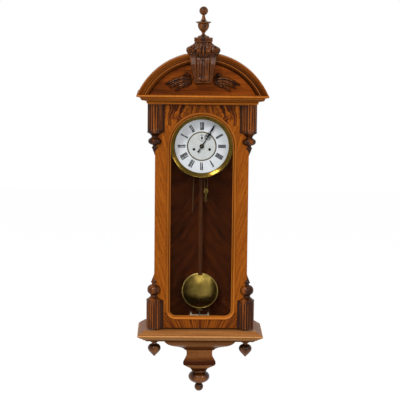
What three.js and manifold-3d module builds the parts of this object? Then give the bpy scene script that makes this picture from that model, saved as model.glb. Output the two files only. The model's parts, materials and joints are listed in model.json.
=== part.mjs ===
// Vienna regulator wall clock: glazed walnut case, lift-off pediment, hinged door, two-train movement.
// Lengths are millimetres. X runs right, Z runs up from the axis of the hands, the wall is at Y zero.
import * as THREE from 'three';
import Module from 'manifold-3d';
import { mergeVertices } from 'three/addons/utils/BufferGeometryUtils.js';

const wasm = await Module();
wasm.setup();

// Clearances
const seat_gap = 0.3;
const overrun = 2;
const weld_tolerance = 0.0001;
const pivot_play = 0.3;

// Pendulum's reach, which sets how low the case goes
const suspension_height = 74;
const pendulum_length = 559;
const bob_radius = 60;
const bob_floor_room = 46;

// Case
const case_half_width = 146;
const case_depth = 128;
const back_thickness = 14;
const side_thickness = 16;
const side_rail = 26;
const side_rebate = 6;
const side_glass_thickness = 2.5;
const case_top = 138.5;
const case_bottom = suspension_height - pendulum_length - bob_radius - bob_floor_room;

// Cornice and base mouldings, widths measured from the centreline and fronts from the wall
const cornice_height = 31.5;
const cornice_side_stand = 26;
const cornice_front_stand = 41;
const cornice_foot_half_width = case_half_width + cornice_side_stand;
const cornice_foot_depth = case_depth + cornice_front_stand;
const cornice_projection = 36;
const base_height = 36;
const base_side_stand = 33.5;
const base_front_stand = 43;
const base_top_half_width = case_half_width + base_side_stand;
const base_top_depth = case_depth + base_front_stand;
const base_projection = 22.5;
const base_slope = 13;
const base_foot_inset = 6;

// Hanging plate let into the back of the backboard
const hanger_half_width = 20;
const hanger_height = 34;
const hanger_thickness = 2.5;
const hanger_below_top = 14;
const keyhole_radius = 6;
const keyhole_slot_half_width = 2.6;
const keyhole_rise = 14;
const keyhole_pocket_depth = 9;

// Console bracket under the base
const console_top_half_width = 114.5;
const console_top_depth = 140;
const console_height = 123;
const console_foot_half_width = 25;
const console_foot_depth = 66;
const console_neck_half_width = 40.5;
const console_neck_depth = 82;
const console_swell = 11.5;

// Turned drops
const pendant_stand = 1.5;
const pendant_spread = case_half_width + pendant_stand;
const pendant_radius = 21;
const pendant_height = 55;
const pendant_inset = 26;
const finial_bun_radius = 33;
const finial_bun_height = 47.5;
const finial_ball_radius = 14.7;
const finial_inset = 36;

// Pediment
const arch_end_inset = 1.5;
const arch_half_chord = cornice_foot_half_width + cornice_projection - arch_end_inset;
const arch_rise = 134;
const arch_band = 34;
const arch_back_inset = 19;
const arch_thickness = 46;
const arch_back = cornice_foot_depth - arch_back_inset;
const arch_front = arch_back + arch_thickness;
const tympanum_recess = 4;
const tympanum_back = arch_back + tympanum_recess;
const tympanum_thickness = 13;
const keystone_recess = 10;
const keystone_stand = 9;
const keystone_back = arch_back + keystone_recess;
const keystone_front = arch_front + keystone_stand;
const keystone_foot_height = 36;
const keystone_foot_half_width = 27;
const keystone_body_half_width = 43.5;
const keystone_body_height = 86;
const keystone_scroll_half_width = 53.5;
const keystone_scroll_height = 34;
const keystone_neck_half_width = 25;
const keystone_neck_height = 11;
const keystone_cap_half_width = 28.5;
const keystone_cap_height = 13;
const urn_height = 96;
const urn_foot_radius = 18;
const urn_stem_radius = 4.5;
const urn_rim_radius = 24.5;
const urn_ball_radius = 13.8;
const spray_length_share = 0.416;
const spray_height_share = 0.425;
const spray_start_share = 0.15;
const spray_foot_share = 0.127;
const spray_thickness = 11;

// Door
const door_side_stand = 3;
const door_half_width = case_half_width + door_side_stand;
const door_thickness = 22;
const door_top = 138;
const door_foot_gap = 6;
const door_bottom = case_bottom + door_foot_gap;
const window_radius = 98.5;
const window_centre_height = 2;
const window_foot_rail = 40;
const window_bottom = door_bottom + window_foot_rail;
const window_corner_radius = 20;
const bead_width = 5;
const bead_depth = 10;
const bead_stand = 2;
const door_glass_thickness = 3;

// Door columns
const column_radius = 24.5;
const column_stand = 16;
const column_axis_depth = case_depth + column_stand;
const column_flute_count = 12;
const flute_depth = 2.6;
const column_backing_width = 30;
const column_backing_thickness = 3;
const upper_shaft_height = 86;
const lower_shaft_height = 89;
const column_foot_gap = 5;
const collar_height = 13;
const neck_height = 9;
const bun_radius = 22;
const upper_bun_height = 22;
const lower_bun_height = 31;
const tip_radius = 10;
const tip_height = 28;

// Hinges
const hinge_pin_stand = 3;
const hinge_pin_x = door_half_width + hinge_pin_stand;
const hinge_length = 42;
const hinge_from_end = 12;
const hinge_knuckle_radius = 3.5;
const hinge_pin_radius = 1.5;
const hinge_leaf_width = 15;
const hinge_leaf_thickness = 1.5;
const hinge_leaf_sink = 0.2;

// Movement frame
const plate_half_width = 54;
const plate_bottom = -38;
const plate_top = 88;
const plate_thickness = 2.5;
const back_plate_depth = 52;
const plate_spacing = 36;
const pillar_radius = 4.5;
const pillar_inset = 6;
const dial_post_radius = 2.5;
const bracket_bar_height = 12;
const bracket_plate_thickness = 4;
const bracket_arm_half_width = 4;
const bracket_arm_height = 8;
const bracket_spread = 50;
const bracket_reach = 98;
const line_lug_thickness = 6;

// Arbor places, seen from the front with the hands axis as the centre
const winding_spread = 25;
const winding_drop = 10.3;
const escape_rise = 26.3;
const centre_to_third = 21.6;
const third_to_escape = 19.72;
const motion_distance = 12.5;
const strike_to_pin = 23.8;
const pin_arbor_angle = 132;

// Tooth counts
const great_tooth_count = 72;
const centre_leaf_count = 6;
const centre_tooth_count = 64;
const third_leaf_count = 8;
const third_tooth_count = 60;
const escape_leaf_count = 8;
const escape_tooth_count = 40;
const cannon_leaf_count = 12;
const minute_tooth_count = 36;
const minute_leaf_count = 10;
const hour_tooth_count = 40;
const strike_tooth_count = 60;
const pin_leaf_count = 8;

// Tooth form as shares of the module and of the half pitch
const wheel_addendum_share = 0.95;
const wheel_dedendum_share = 1.25;
const leaf_addendum_share = 0.6;
const leaf_dedendum_share = 1.4;
const leaf_tip_share = 0.22;

// Planes of the wheels, measured forward from the back plate's inner face
const centre_wheel_plane = 1;
const great_wheel_plane = 4;
const escape_wheel_plane = 8;
const drum_plane = 8;
const drum_length = 19;
const strike_wheel_plane = 29;
const third_wheel_plane = 33;
const pin_wheel_plane = 4;
const thin_wheel = 1.2;
const thick_wheel = 2.5;
const pinion_overlap = 0.6;
const arbor_radius = 1.2;
const winding_arbor_radius = 3.2;
const winding_square_half = 2;
const drum_flange_radius = 16;
const drum_flange = 1.2;
const escape_radius = 17.5;
const escape_tooth_depth = 3;
const pin_wheel_radius = 14;
const strike_pin_count = 8;
const strike_pin_radius = 0.8;
const strike_pin_length = 2.4;
const rim_share = 0.8;
const hub_share = 0.3;
const spoke_share = 0.16;
const wheel_spoke_count = 4;

// Motion work between the front plate and the dial
const motion_plane_gap = 0.8;
const motion_wheel = 1.3;
const minute_pipe_radius = 1.9;
const hour_pipe_radius = 3;

// Dial and hands, depths measured from the wall
const dial_back_depth = 102;
const dial_thickness = 2.4;
const dial_radius = 92;
const dial_centre_hole = 3.6;
const winding_hole_radius = 3.8;
const seconds_hole_radius = 1.8;
const dial_ring_outer = 47.6;
const dial_ring_inner = 43.6;
const dial_ring_thickness = 0.6;
const bezel_outer = 101.5;
const bezel_inner = 86.4;
const bezel_depth = 10;
const hour_hand_length = 53;
const hour_rosette_radius = 7.2;
const minute_hand_length = 81.6;
const minute_tail = 23;
const hand_boss_radius = 6.6;
const hand_thickness = 0.8;
const seconds_hand_length = 9;
const seconds_tail = 6;
const seconds_hand_lift = 0.4;
const hour_hand_lift = 2;
const minute_hand_lift = 4.4;
const shown_minutes = 65.2;

// Pendulum
const pendulum_depth = 40;
const bob_thickness = 26;
const rod_width = 13;
const rod_thickness = 8;
const rod_top_drop = 44;
const rod_end_inset = 30;
const thread_radius = 2;
const thread_length = 30;
const nut_radius = 9;
const nut_height = 7;
const spring_width = 8;
const spring_thickness = 0.4;
const spring_half_length = 9;
const chop_half_width = 5;
const chop_thickness = 5;
const chop_height = 9;
const cock_half_width = 14;
const cock_arm_half_width = 8;
const cock_arm_height = 8;
const cock_plate_height = 30;
const hook_radius = 2.2;

// Escapement anchor and crutch
const pallet_clearance = 2.4;
const anchor_thickness = 3;
const anchor_arm_width = 5;
const anchor_hub_radius = 4;
const crutch_length = 62;
const crutch_arm_half_width = 2;
const crutch_thickness = 2;
const crutch_prong = 1.8;
const crutch_gap = 3;

// Beat scale
const scale_half_width = 32;
const scale_height = 12;
const scale_end_rise = 11;
const scale_end_half_width = 3.5;
const scale_thickness = 3;
const scale_above_base = 8;

// Gong and hammer
const gong_radius = 52;
const gong_pitch = 7;
const gong_turn_count = 2;
const gong_wire_radius = 1.6;
const gong_depth = 22;
const gong_drop = 5;
const gong_block_half_width = 7;
const gong_block_height = 14;
const hammer_x = -47;
const hammer_z = 46;
const hammer_head_radius = 5;
const hammer_head_length = 9;
const hammer_gap = 1.5;
const hammer_arm_half_width = 1.6;
const hammer_arm_depth = 29;
const hammer_tail_length = 22;

// Driving line, its pulley and the loose line
const line_radius = 1;
const line_depth = 72;
const loose_line_x = 23.4;
const line_wrap_radius = 14;
const sheave_groove_radius = 3.7;
const sheave_radius = 7.6;
const sheave_width = 6;
const pulley_height = -149;
const sheave_pin_radius = 1.3;
const bail_gap = 1;
const bail_thickness = 1.6;
const bail_half_width = 3;
const bail_drop = 24;
const bail_hook_radius = 4.5;
const loose_line_route = [[-23.4, -60.3], [-24.6, -92], [-25.6, -140], [-26.4, -185], [-27, -220]];
const loose_line_step_count = 40;

// Materials
const walnut = { color: 0x8a4a1c, roughness: 0.4, metalness: 0 };
const dark_walnut = { color: 0x3a1a0c, roughness: 0.5, metalness: 0 };
const carved_walnut = { color: 0x4a2614, roughness: 0.38, metalness: 0 };
const brass = { color: 0xb08a3c, roughness: 0.3, metalness: 1 };
const rod_wood = { color: 0x5a2110, roughness: 0.4, metalness: 0 };
const iron = { color: 0x1e1e1f, roughness: 0.6, metalness: 0.8 };
const steel = { color: 0x60656b, roughness: 0.35, metalness: 1 };
const blued_steel = { color: 0x15171c, roughness: 0.4, metalness: 0.6 };
const enamel = { color: 0xd8e0e6, roughness: 0.25, metalness: 0 };
const glass = { color: 0xe8f0f0, roughness: 0.05, metalness: 0 };
const gut = { color: 0xa98a55, roughness: 0.6, metalness: 0 };
const ivory = { color: 0xd8cfb8, roughness: 0.4, metalness: 0 };

// Solids: every helper returns a closed solid that can be joined and cut
function solid(geometry) {
  const bare = geometry.clone();
  bare.deleteAttribute('normal');
  bare.deleteAttribute('uv');
  const merged = mergeVertices(bare, weld_tolerance);
  const places = merged.attributes.position.array;
  const kept = [];
  let volume = 0;
  for (let i = 0; i < merged.index.count; i += 3) {
    const corners = [0, 1, 2].map((k) => merged.index.getX(i + k));
    if (new Set(corners).size < corners.length) continue;
    const [a, b, c] = corners.map((corner) => new THREE.Vector3().fromArray(places, corner * 3));
    volume += a.dot(b.cross(c));
    kept.push(corners);
  }
  const triangles = kept.flatMap(([a, b, c]) => (volume < 0 ? [a, c, b] : [a, b, c]));
  return new wasm.Manifold(new wasm.Mesh({
    numProp: 3,
    vertProperties: new Float32Array(places),
    triVerts: new Uint32Array(triangles),
  }));
}

function join(...solids) {
  return solids.reduce((whole, piece) => whole.add(piece));
}

function cut(whole, ...tools) {
  return tools.reduce((rest, tool) => rest.subtract(tool), whole);
}

function box(x0, x1, y0, y1, z0, z1) {
  const block = new THREE.BoxGeometry(Math.abs(x1 - x0), Math.abs(y1 - y0), Math.abs(z1 - z0));
  block.translate((x0 + x1) / 2, (y0 + y1) / 2, (z0 + z1) / 2);
  return solid(block);
}

function extruded(shape, depth, curve_steps) {
  return new THREE.ExtrudeGeometry(shape, { depth, bevelEnabled: false, curveSegments: curve_steps });
}

// A flat shape drawn as seen from the front, from its back face forward
function plate(shape, back_y, thickness, curve_steps = 10) {
  const slab = extruded(shape, thickness, curve_steps);
  slab.rotateX(Math.PI / 2);
  slab.translate(0, back_y, 0);
  return solid(slab);
}

// A flat shape drawn with depth and height, standing square to the X axis
function side_plate(shape, x0, thickness) {
  const slab = extruded(shape, thickness, 10);
  const turn = new THREE.Matrix4().makeBasis(
    new THREE.Vector3(0, 1, 0), new THREE.Vector3(0, 0, 1), new THREE.Vector3(1, 0, 0),
  );
  slab.applyMatrix4(turn);
  slab.translate(x0, 0, 0);
  return solid(slab);
}

// A horizontal shape raised along Z
function column_solid(shape, z0, height, curve_steps = 8) {
  const slab = extruded(shape, height, curve_steps);
  slab.translate(0, 0, z0);
  return solid(slab);
}

function lathe(profile, sides) {
  const points = profile.map(([radius, height]) => new THREE.Vector2(radius, height));
  return new THREE.LatheGeometry(points, sides);
}

// Turned about Z, the profile as radius and height
function turned(profile, sides = 24) {
  const body = lathe(profile, sides);
  body.rotateX(Math.PI / 2);
  return solid(body);
}

// Turned about Y, the profile as radius and depth from the wall
function spun(profile, sides = 32) {
  const body = lathe(profile, sides);
  body.scale(1, -1, 1);
  return solid(body);
}

function round_bar(radius, depth0, depth1, x = 0, z = 0, sides = 12) {
  return spun([[0, depth0], [radius, depth0], [radius, depth1], [0, depth1]], sides).translate(x, 0, z);
}

function tube(outer, inner, depth0, depth1, sides = 24) {
  return spun([[inner, depth0], [outer, depth0], [outer, depth1], [inner, depth1], [inner, depth0]], sides);
}

function outline(points) {
  return new THREE.Shape(points.map(([x, y]) => new THREE.Vector2(x, y)));
}

function rectangle(x0, x1, y0, y1) {
  return outline([[x0, y0], [x1, y0], [x1, y1], [x0, y1]]);
}

function polar(radius, angle) {
  return [radius * Math.cos(angle), radius * Math.sin(angle)];
}

// A slab against the wall whose front and ends follow one profile: height, half width and depth
function moulded_slab(levels) {
  const places = [];
  const faces = [];
  for (const [height, half_width, depth] of levels) {
    places.push(-half_width, 0, height, half_width, 0, height);
    places.push(half_width, -depth, height, -half_width, -depth, height);
  }
  const corners = 4;
  for (let level = 0; level + 1 < levels.length; level += 1) {
    for (let side = 0; side < corners; side += 1) {
      const a = level * corners + side;
      const b = level * corners + ((side + 1) % corners);
      faces.push(a, b, a + corners, b, b + corners, a + corners);
    }
  }
  const top = (levels.length - 1) * corners;
  faces.push(0, 2, 1, 0, 3, 2, top, top + 1, top + 2, top, top + 2, top + 3);
  const slab = new THREE.BufferGeometry();
  slab.setAttribute('position', new THREE.Float32BufferAttribute(places, 3));
  slab.setIndex(faces);
  return solid(slab);
}

// A closed moulding that follows an outline; the section is given as offset and depth
function framed_ring(outline_at, section) {
  const rings = section.map(([offset, depth]) => outline_at(offset).map(([x, z]) => [x, -depth, z]));
  const count = rings[0].length;
  const faces = [];
  for (let ring = 0; ring < rings.length; ring += 1) {
    const next = (ring + 1) % rings.length;
    for (let step = 0; step < count; step += 1) {
      const after = (step + 1) % count;
      const a = ring * count + step;
      const b = ring * count + after;
      const c = next * count + step;
      const d = next * count + after;
      faces.push(a, b, c, b, d, c);
    }
  }
  const moulding = new THREE.BufferGeometry();
  moulding.setAttribute('position', new THREE.Float32BufferAttribute(rings.flat(2), 3));
  moulding.setIndex(faces);
  return solid(moulding);
}

// Pointed wheel teeth, one of them centred on the given angle
function wheel_outline(teeth, module, tooth_angle) {
  const pitch_radius = teeth * module / 2;
  const half_pitch = Math.PI / teeth;
  const points = [];
  for (let tooth = 0; tooth < teeth; tooth += 1) {
    const middle = tooth_angle + 2 * half_pitch * tooth;
    points.push(polar(pitch_radius + wheel_addendum_share * module, middle));
    points.push(polar(pitch_radius - wheel_dedendum_share * module, middle + half_pitch));
  }
  return outline(points);
}

// Pinion leaves with flat tips, one of them centred on the given angle
function leaf_outline(leaves, module, leaf_angle) {
  const pitch_radius = leaves * module / 2;
  const tip = pitch_radius + leaf_addendum_share * module;
  const half_pitch = Math.PI / leaves;
  const points = [];
  for (let leaf = 0; leaf < leaves; leaf += 1) {
    const middle = leaf_angle + 2 * half_pitch * leaf;
    points.push(polar(tip, middle - leaf_tip_share * half_pitch));
    points.push(polar(tip, middle + leaf_tip_share * half_pitch));
    points.push(polar(pitch_radius - leaf_dedendum_share * module, middle + half_pitch));
  }
  return outline(points);
}

function cross_out(shape, outer, inner, spokes, half_spoke) {
  const turn = 2 * Math.PI / spokes;
  const arc_step_count = 3;
  for (let spoke = 0; spoke < spokes; spoke += 1) {
    const points = [];
    const outer_edge = Math.asin(half_spoke / outer);
    const inner_edge = Math.asin(half_spoke / inner);
    for (let step = 0; step <= arc_step_count; step += 1) {
      const share = step / arc_step_count;
      points.push(polar(outer, spoke * turn + outer_edge + share * (turn - 2 * outer_edge)));
    }
    points.push(polar(inner, (spoke + 1) * turn - inner_edge));
    points.push(polar(inner, spoke * turn + inner_edge));
    shape.holes.push(new THREE.Path(points.map(([x, y]) => new THREE.Vector2(x, y))));
  }
  return shape;
}

// A wheel with real teeth, about its own arbor, from the given depth forward
function toothed_wheel(teeth, module, tooth_angle, depth, thickness, crossed = false) {
  const shape = wheel_outline(teeth, module, tooth_angle);
  const radius = teeth * module / 2;
  if (crossed) {
    cross_out(shape, radius * rim_share, radius * hub_share, wheel_spoke_count, radius * spoke_share / 2);
  }
  return plate(shape, -depth, thickness);
}

function pinion(leaves, module, tooth_angle, depth0, depth1) {
  return plate(leaf_outline(leaves, module, tooth_angle), -depth0, depth1 - depth0);
}

function circle_points(x, z, radius, steps) {
  return Array.from({ length: steps }, (_, step) => {
    const [out, rise] = polar(radius, 2 * Math.PI * step / steps);
    return [x + out, z + rise];
  });
}

function path_of(points) {
  return new THREE.Path(points.map(([x, y]) => new THREE.Vector2(x, y)));
}

function angle_between(from, to) {
  return Math.atan2(to[1] - from[1], to[0] - from[0]);
}

// A round wire bent about the Y axis, with its radius and turn given at each step
function bent_wire(wire_radius, depth, step_count, sides, path_at) {
  const places = [];
  const faces = [];
  for (let step = 0; step <= step_count; step += 1) {
    const [radius, turn] = path_at(step);
    for (let side = 0; side < sides; side += 1) {
      const [out, rise] = polar(wire_radius, 2 * Math.PI * side / sides);
      const [x, z] = polar(radius + out, turn);
      places.push([x, rise - depth, z]);
    }
  }
  for (let step = 0; step < step_count; step += 1) {
    for (let side = 0; side < sides; side += 1) {
      const a = step * sides + side;
      const b = step * sides + ((side + 1) % sides);
      faces.push(a, b, a + sides, b, b + sides, a + sides);
    }
  }
  const last = step_count * sides;
  for (let side = 1; side + 1 < sides; side += 1) {
    faces.push(0, side + 1, side, last, last + side, last + side + 1);
  }
  const wire = new THREE.BufferGeometry();
  wire.setAttribute('position', new THREE.Float32BufferAttribute(places.flat(), 3));
  wire.setIndex(faces);
  return { body: solid(wire), places };
}

// The pieces, each a named mesh placed in the clock
const clock = new THREE.Group();
clock.name = 'vienna_regulator';

function add(name, body, finish, place = [0, 0, 0], parent = clock) {
  const mesh_data = body.getMesh();
  const geometry = new THREE.BufferGeometry();
  geometry.setAttribute('position', new THREE.Float32BufferAttribute(mesh_data.vertProperties, 3));
  geometry.setIndex(new THREE.Uint32BufferAttribute(mesh_data.triVerts, 1));
  geometry.computeVertexNormals();
  const mesh = new THREE.Mesh(geometry, new THREE.MeshStandardMaterial(finish));
  mesh.name = name;
  mesh.position.set(...place);
  parent.add(mesh);
}

// Case: backboard with the pocket of its hanging plate
const case_height = case_top - case_bottom;
const hanger_top = case_top - hanger_below_top;
const hanger_bottom = hanger_top - hanger_height;
const keyhole_z = hanger_bottom + keyhole_radius * 2;
let backboard = box(
  -case_half_width, case_half_width, -back_thickness, 0,
  case_bottom + seat_gap, case_top - seat_gap,
);
backboard = cut(
  backboard,
  box(
    -hanger_half_width - seat_gap, hanger_half_width + seat_gap, -hanger_thickness - 2 * seat_gap, overrun,
    hanger_bottom - seat_gap, hanger_top + seat_gap,
  ),
  box(
    -keyhole_radius, keyhole_radius, -keyhole_pocket_depth, overrun,
    keyhole_z - keyhole_radius, keyhole_z + keyhole_rise + keyhole_slot_half_width,
  ),
);
add('backboard', backboard, dark_walnut);

const keyhole = new THREE.Path();
const slot_meet = Math.asin(keyhole_slot_half_width / keyhole_radius);
keyhole.absarc(0, keyhole_z, keyhole_radius, Math.PI / 2 + slot_meet, Math.PI * 5 / 2 - slot_meet, false);
keyhole.absarc(0, keyhole_z + keyhole_rise, keyhole_slot_half_width, 0, Math.PI, false);
const hanger = rectangle(-hanger_half_width, hanger_half_width, hanger_bottom, hanger_top);
hanger.holes.push(keyhole);
add('hanging_plate', plate(hanger, -seat_gap, hanger_thickness), brass);

// Case: glazed side frames
const side_back = -back_thickness - seat_gap;
const side_front = -case_depth + seat_gap;
const side_inner = case_half_width - side_thickness;
const side_low = case_bottom + seat_gap;
const side_high = case_top - seat_gap;
const side_glass_outer = side_inner + side_rebate + side_glass_thickness;

function hinge_span(hinge_end) {
  return hinge_end > 0
    ? [door_top - hinge_from_end - hinge_length, door_top - hinge_from_end]
    : [door_bottom + hinge_from_end, door_bottom + hinge_from_end + hinge_length];
}

const leaf_inner = hinge_pin_x - hinge_knuckle_radius - hinge_leaf_width;
const case_leaf_front = side_front + hinge_leaf_sink;
for (const [name, hand] of [['left', -1], ['right', 1]]) {
  const frame = rectangle(side_front, side_back, side_low, side_high);
  const light = rectangle(
    side_front + side_rail, side_back - side_rail, side_low + side_rail, side_high - side_rail,
  );
  frame.holes.push(light);
  let body = side_plate(frame, side_inner, side_thickness);
  body = cut(body, box(
    side_inner - overrun, side_glass_outer + seat_gap,
    side_front + side_rail - side_rebate, side_back - side_rail + side_rebate,
    side_low + side_rail - side_rebate, side_high - side_rail + side_rebate,
  ));
  let pane = box(
    side_inner + side_rebate, side_glass_outer,
    side_front + side_rail - side_rebate + seat_gap, side_back - side_rail + side_rebate - seat_gap,
    side_low + side_rail - side_rebate + seat_gap, side_high - side_rail + side_rebate - seat_gap,
  );
  if (hand > 0) {
    for (const end of [1, -1]) {
      const [low, high] = hinge_span(end);
      body = cut(body, box(
        leaf_inner - seat_gap, case_half_width + overrun,
        case_leaf_front + hinge_leaf_thickness + seat_gap, side_front - overrun,
        low - seat_gap, high + seat_gap,
      ));
    }
  } else {
    body = body.mirror([1, 0, 0]);
    pane = pane.mirror([1, 0, 0]);
  }
  add(`${name}_side_frame`, body, walnut);
  add(`${name}_side_glass`, pane, glass);
}

// Case: cornice with its top board, and base moulding with its floor
const cornice_low = case_top;
const cornice_high = cornice_low + cornice_height;
const cornice_shares = [
  [0, 0], [0.08, 0], [0.1, 0.09], [0.2, 0.11], [0.32, 0.22], [0.42, 0.42], [0.46, 0.55],
  [0.52, 0.57], [0.56, 0.64], [0.66, 0.66], [0.72, 0.72], [0.8, 0.88], [0.84, 1], [1, 1],
];
add('cornice', moulded_slab(cornice_shares.map(([rise_share, out_share]) => [
  cornice_low + rise_share * cornice_height,
  cornice_foot_half_width + out_share * cornice_projection,
  cornice_foot_depth + out_share * cornice_projection,
])), walnut);

const base_high = case_bottom;
const base_low = base_high - base_height;
const base_under_shares = [
  [0, 1], [0.1, 1], [0.3, 0.76], [0.4, 0.72], [0.62, 0.38], [0.76, 0.28], [0.82, 0.14], [0.9, 0.1], [1, 0],
];
const base_under_height = base_height - base_slope;
const base_levels = [[base_high, base_top_half_width, base_top_depth]];
for (const [drop_share, out_share] of base_under_shares) {
  const out = out_share * (base_projection + base_foot_inset) - base_foot_inset;
  base_levels.push([
    base_high - base_slope - drop_share * base_under_height,
    base_top_half_width + out,
    base_top_depth + out,
  ]);
}
add('base_moulding', moulded_slab(base_levels.reverse()), walnut);

// Console bracket, its outline swept round the front and both ends
const console_high = base_low - seat_gap;
const console_low = console_high - console_height;
const console_shares = [
  [0, 1, 0], [0.05, 1, 0], [0.12, 0.97, 0], [0.18, 0.9, 0], [0.23, 0.72, 0], [0.27, 0.46, 0], [0.31, 0.24, 0],
  [0.37, 0.1, 0], [0.43, 0.03, 0], [0.49, 0, 0], [0.56, 0, 0.3], [0.63, 0, 0.8], [0.69, 0, 1], [0.74, 0, 1],
  [0.8, 0, 0.5], [0.86, 0, 0],
];
const console_levels = console_shares.map(([drop_share, flare_share, swell_share]) => [
  console_high - drop_share * console_height,
  console_neck_half_width + flare_share * (console_top_half_width - console_neck_half_width)
    + swell_share * console_swell,
  console_neck_depth + flare_share * (console_top_depth - console_neck_depth) + swell_share * console_swell,
]);
const console_step_share = 0.9;
const console_step_z = console_high - console_step_share * console_height;
console_levels.push([console_step_z, console_foot_half_width, console_foot_depth]);
console_levels.push([console_low, console_foot_half_width, console_foot_depth]);
add('console_bracket', moulded_slab(console_levels.reverse()), walnut);

// Turned drops under the base, heart shaped with a small collar
const pendant_shares = [
  [0, -1], [0.14, -0.94], [0.52, -0.8], [0.88, -0.64], [1, -0.5], [0.96, -0.38], [0.74, -0.28],
  [0.38, -0.23], [0.38, -0.14], [0.62, -0.11], [0.66, 0], [0, 0],
];
const pendant = turned(pendant_shares.map(([r, z]) => [r * pendant_radius, z * pendant_height]), 16);
const pendant_z = base_low - seat_gap;
const pendant_y = -(base_top_depth - base_foot_inset - pendant_inset);
add('left_pendant', pendant, walnut, [-pendant_spread, pendant_y, pendant_z]);
add('right_pendant', pendant, walnut, [pendant_spread, pendant_y, pendant_z]);

const bun_neck_share = 0.26;
const bun_shares = [
  [0.62, 0], [0.72, -0.05], [0.74, -0.12], [0.68, -0.17], [0.84, -0.24], [0.97, -0.38], [1, -0.52],
  [0.93, -0.7], [0.66, -0.89], [bun_neck_share, -1],
];
const ball_step_count = 6;
const ball_meet = Math.acos(bun_neck_share * finial_bun_radius / finial_ball_radius);
const ball_centre_drop = finial_bun_height + finial_ball_radius * Math.sin(ball_meet);
const finial_profile = [
  [0, 0], ...bun_shares.map(([r, z]) => [r * finial_bun_radius, z * finial_bun_height]),
];
for (let step = 1; step <= ball_step_count; step += 1) {
  const angle = ball_meet - step * (ball_meet + Math.PI / 2) / ball_step_count;
  finial_profile.push([
    step === ball_step_count ? 0 : finial_ball_radius * Math.cos(angle),
    finial_ball_radius * Math.sin(angle) - ball_centre_drop,
  ]);
}
add('bottom_finial', turned(finial_profile, 16), walnut, [0, -finial_inset, console_low - seat_gap]);

// Pediment: arched moulding over a plain panel
const pediment_foot = cornice_high + seat_gap;
const arch_radius = (arch_half_chord ** 2 + arch_rise ** 2) / (2 * arch_rise);
const arch_centre_z = pediment_foot + arch_rise - arch_radius;
const arch_inner = arch_radius - arch_band;
const arch_depth = arch_front - arch_back;
const arch_shares = [
  [0, 0], [1, 0], [1, 1], [0.84, 0.98], [0.62, 0.84], [0.42, 0.78], [0.36, 0.66], [0.26, 0.66], [0.2, 0.56],
  [0.1, 0.5], [0, 0.4], [0, 0],
];
const arch_side_count = 56;
const arch_profile = arch_shares.map(([band_share, depth_share]) => [
  arch_inner + band_share * arch_band, arch_back + depth_share * arch_depth,
]);
const pediment_space = box(
  -arch_radius - overrun, arch_radius + overrun, -arch_front - overrun, 0,
  pediment_foot, arch_centre_z + arch_radius + overrun,
);

const keystone_z = pediment_foot + keystone_foot_height;
const body_z = keystone_z + keystone_body_height;
const scroll_z = body_z + keystone_scroll_height;
const neck_z = scroll_z + keystone_neck_height;
const keystone_top = neck_z + keystone_cap_height;

// Each corner as a share of a half width, the half width, and a share of a height above its foot
const keystone_corner_shares = [
  [0.55, keystone_foot_half_width, 0, keystone_body_height, keystone_z],
  [1, keystone_foot_half_width, 0.05, keystone_body_height, keystone_z],
  [1, keystone_body_half_width, 0.94, keystone_body_height, keystone_z],
  [1, keystone_body_half_width, 1, keystone_body_height, keystone_z],
  [0.96, keystone_scroll_half_width, 0.1, keystone_scroll_height, body_z],
  [1, keystone_scroll_half_width, 0.35, keystone_scroll_height, body_z],
  [0.97, keystone_scroll_half_width, 0.6, keystone_scroll_height, body_z],
  [0.86, keystone_scroll_half_width, 0.74, keystone_scroll_height, body_z],
  [0.62, keystone_scroll_half_width, 0.88, keystone_scroll_height, body_z],
  [1, keystone_neck_half_width, 0, keystone_neck_height, scroll_z],
  [1, keystone_neck_half_width, 1, keystone_neck_height, scroll_z],
  [1, keystone_cap_half_width, 0, keystone_cap_height, neck_z],
  [1, keystone_cap_half_width, 1, keystone_cap_height, neck_z],
];
function keystone_outline(grow) {
  const right = keystone_corner_shares.map(([width_share, half_width, rise_share, height, foot]) => [
    width_share * half_width + grow, foot + rise_share * height,
  ]);
  right[0][1] -= grow;
  right[1][1] -= grow;
  return outline(right.concat(right.map(([x, z]) => [-x, z]).reverse()));
}

// Side view of the keystone: a console that swells over the arch and draws in to its foot
const keystone_depth = keystone_front - keystone_back;
const keystone_side_shares = [
  [0.62, 0], [0.72, 0.03], [0.8, 0.12], [0.93, 0.3], [0.96, 0.42], [0.9, 0.54], [0.86, 0.6], [0.97, 0.66],
  [1, 0.74], [0.97, 0.8], [0.86, 0.86], [0.84, 0.9], [0.92, 0.9], [0.92, 1],
];
const keystone_rise = keystone_top - keystone_z;
const keystone_side = keystone_side_shares.map(([depth_share, rise_share]) => [
  -keystone_back - depth_share * keystone_depth, keystone_z + rise_share * keystone_rise,
]);
const keystone_profile = outline([
  [-keystone_back, keystone_top], [-keystone_back, keystone_z], ...keystone_side,
]);
const keystone_width = 2 * keystone_scroll_half_width + 2 * overrun;
const keystone_block = plate(keystone_outline(0), -keystone_back, keystone_depth + overrun);
const keystone_sweep = side_plate(keystone_profile, -keystone_width / 2, keystone_width);
const keystone_space = plate(keystone_outline(seat_gap), -keystone_back + seat_gap, keystone_depth + overrun);
const arch_ring = spun(arch_profile, arch_side_count).translate(0, 0, arch_centre_z);
const tympanum_disc = round_bar(
  arch_inner - seat_gap, tympanum_back, tympanum_back + tympanum_thickness, 0, arch_centre_z, arch_side_count,
);
add('arch_moulding', cut(arch_ring.intersect(pediment_space), keystone_space), walnut);
add('tympanum', cut(tympanum_disc.intersect(pediment_space), keystone_space), walnut);
add('keystone', keystone_block.intersect(keystone_sweep), carved_walnut);

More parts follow.
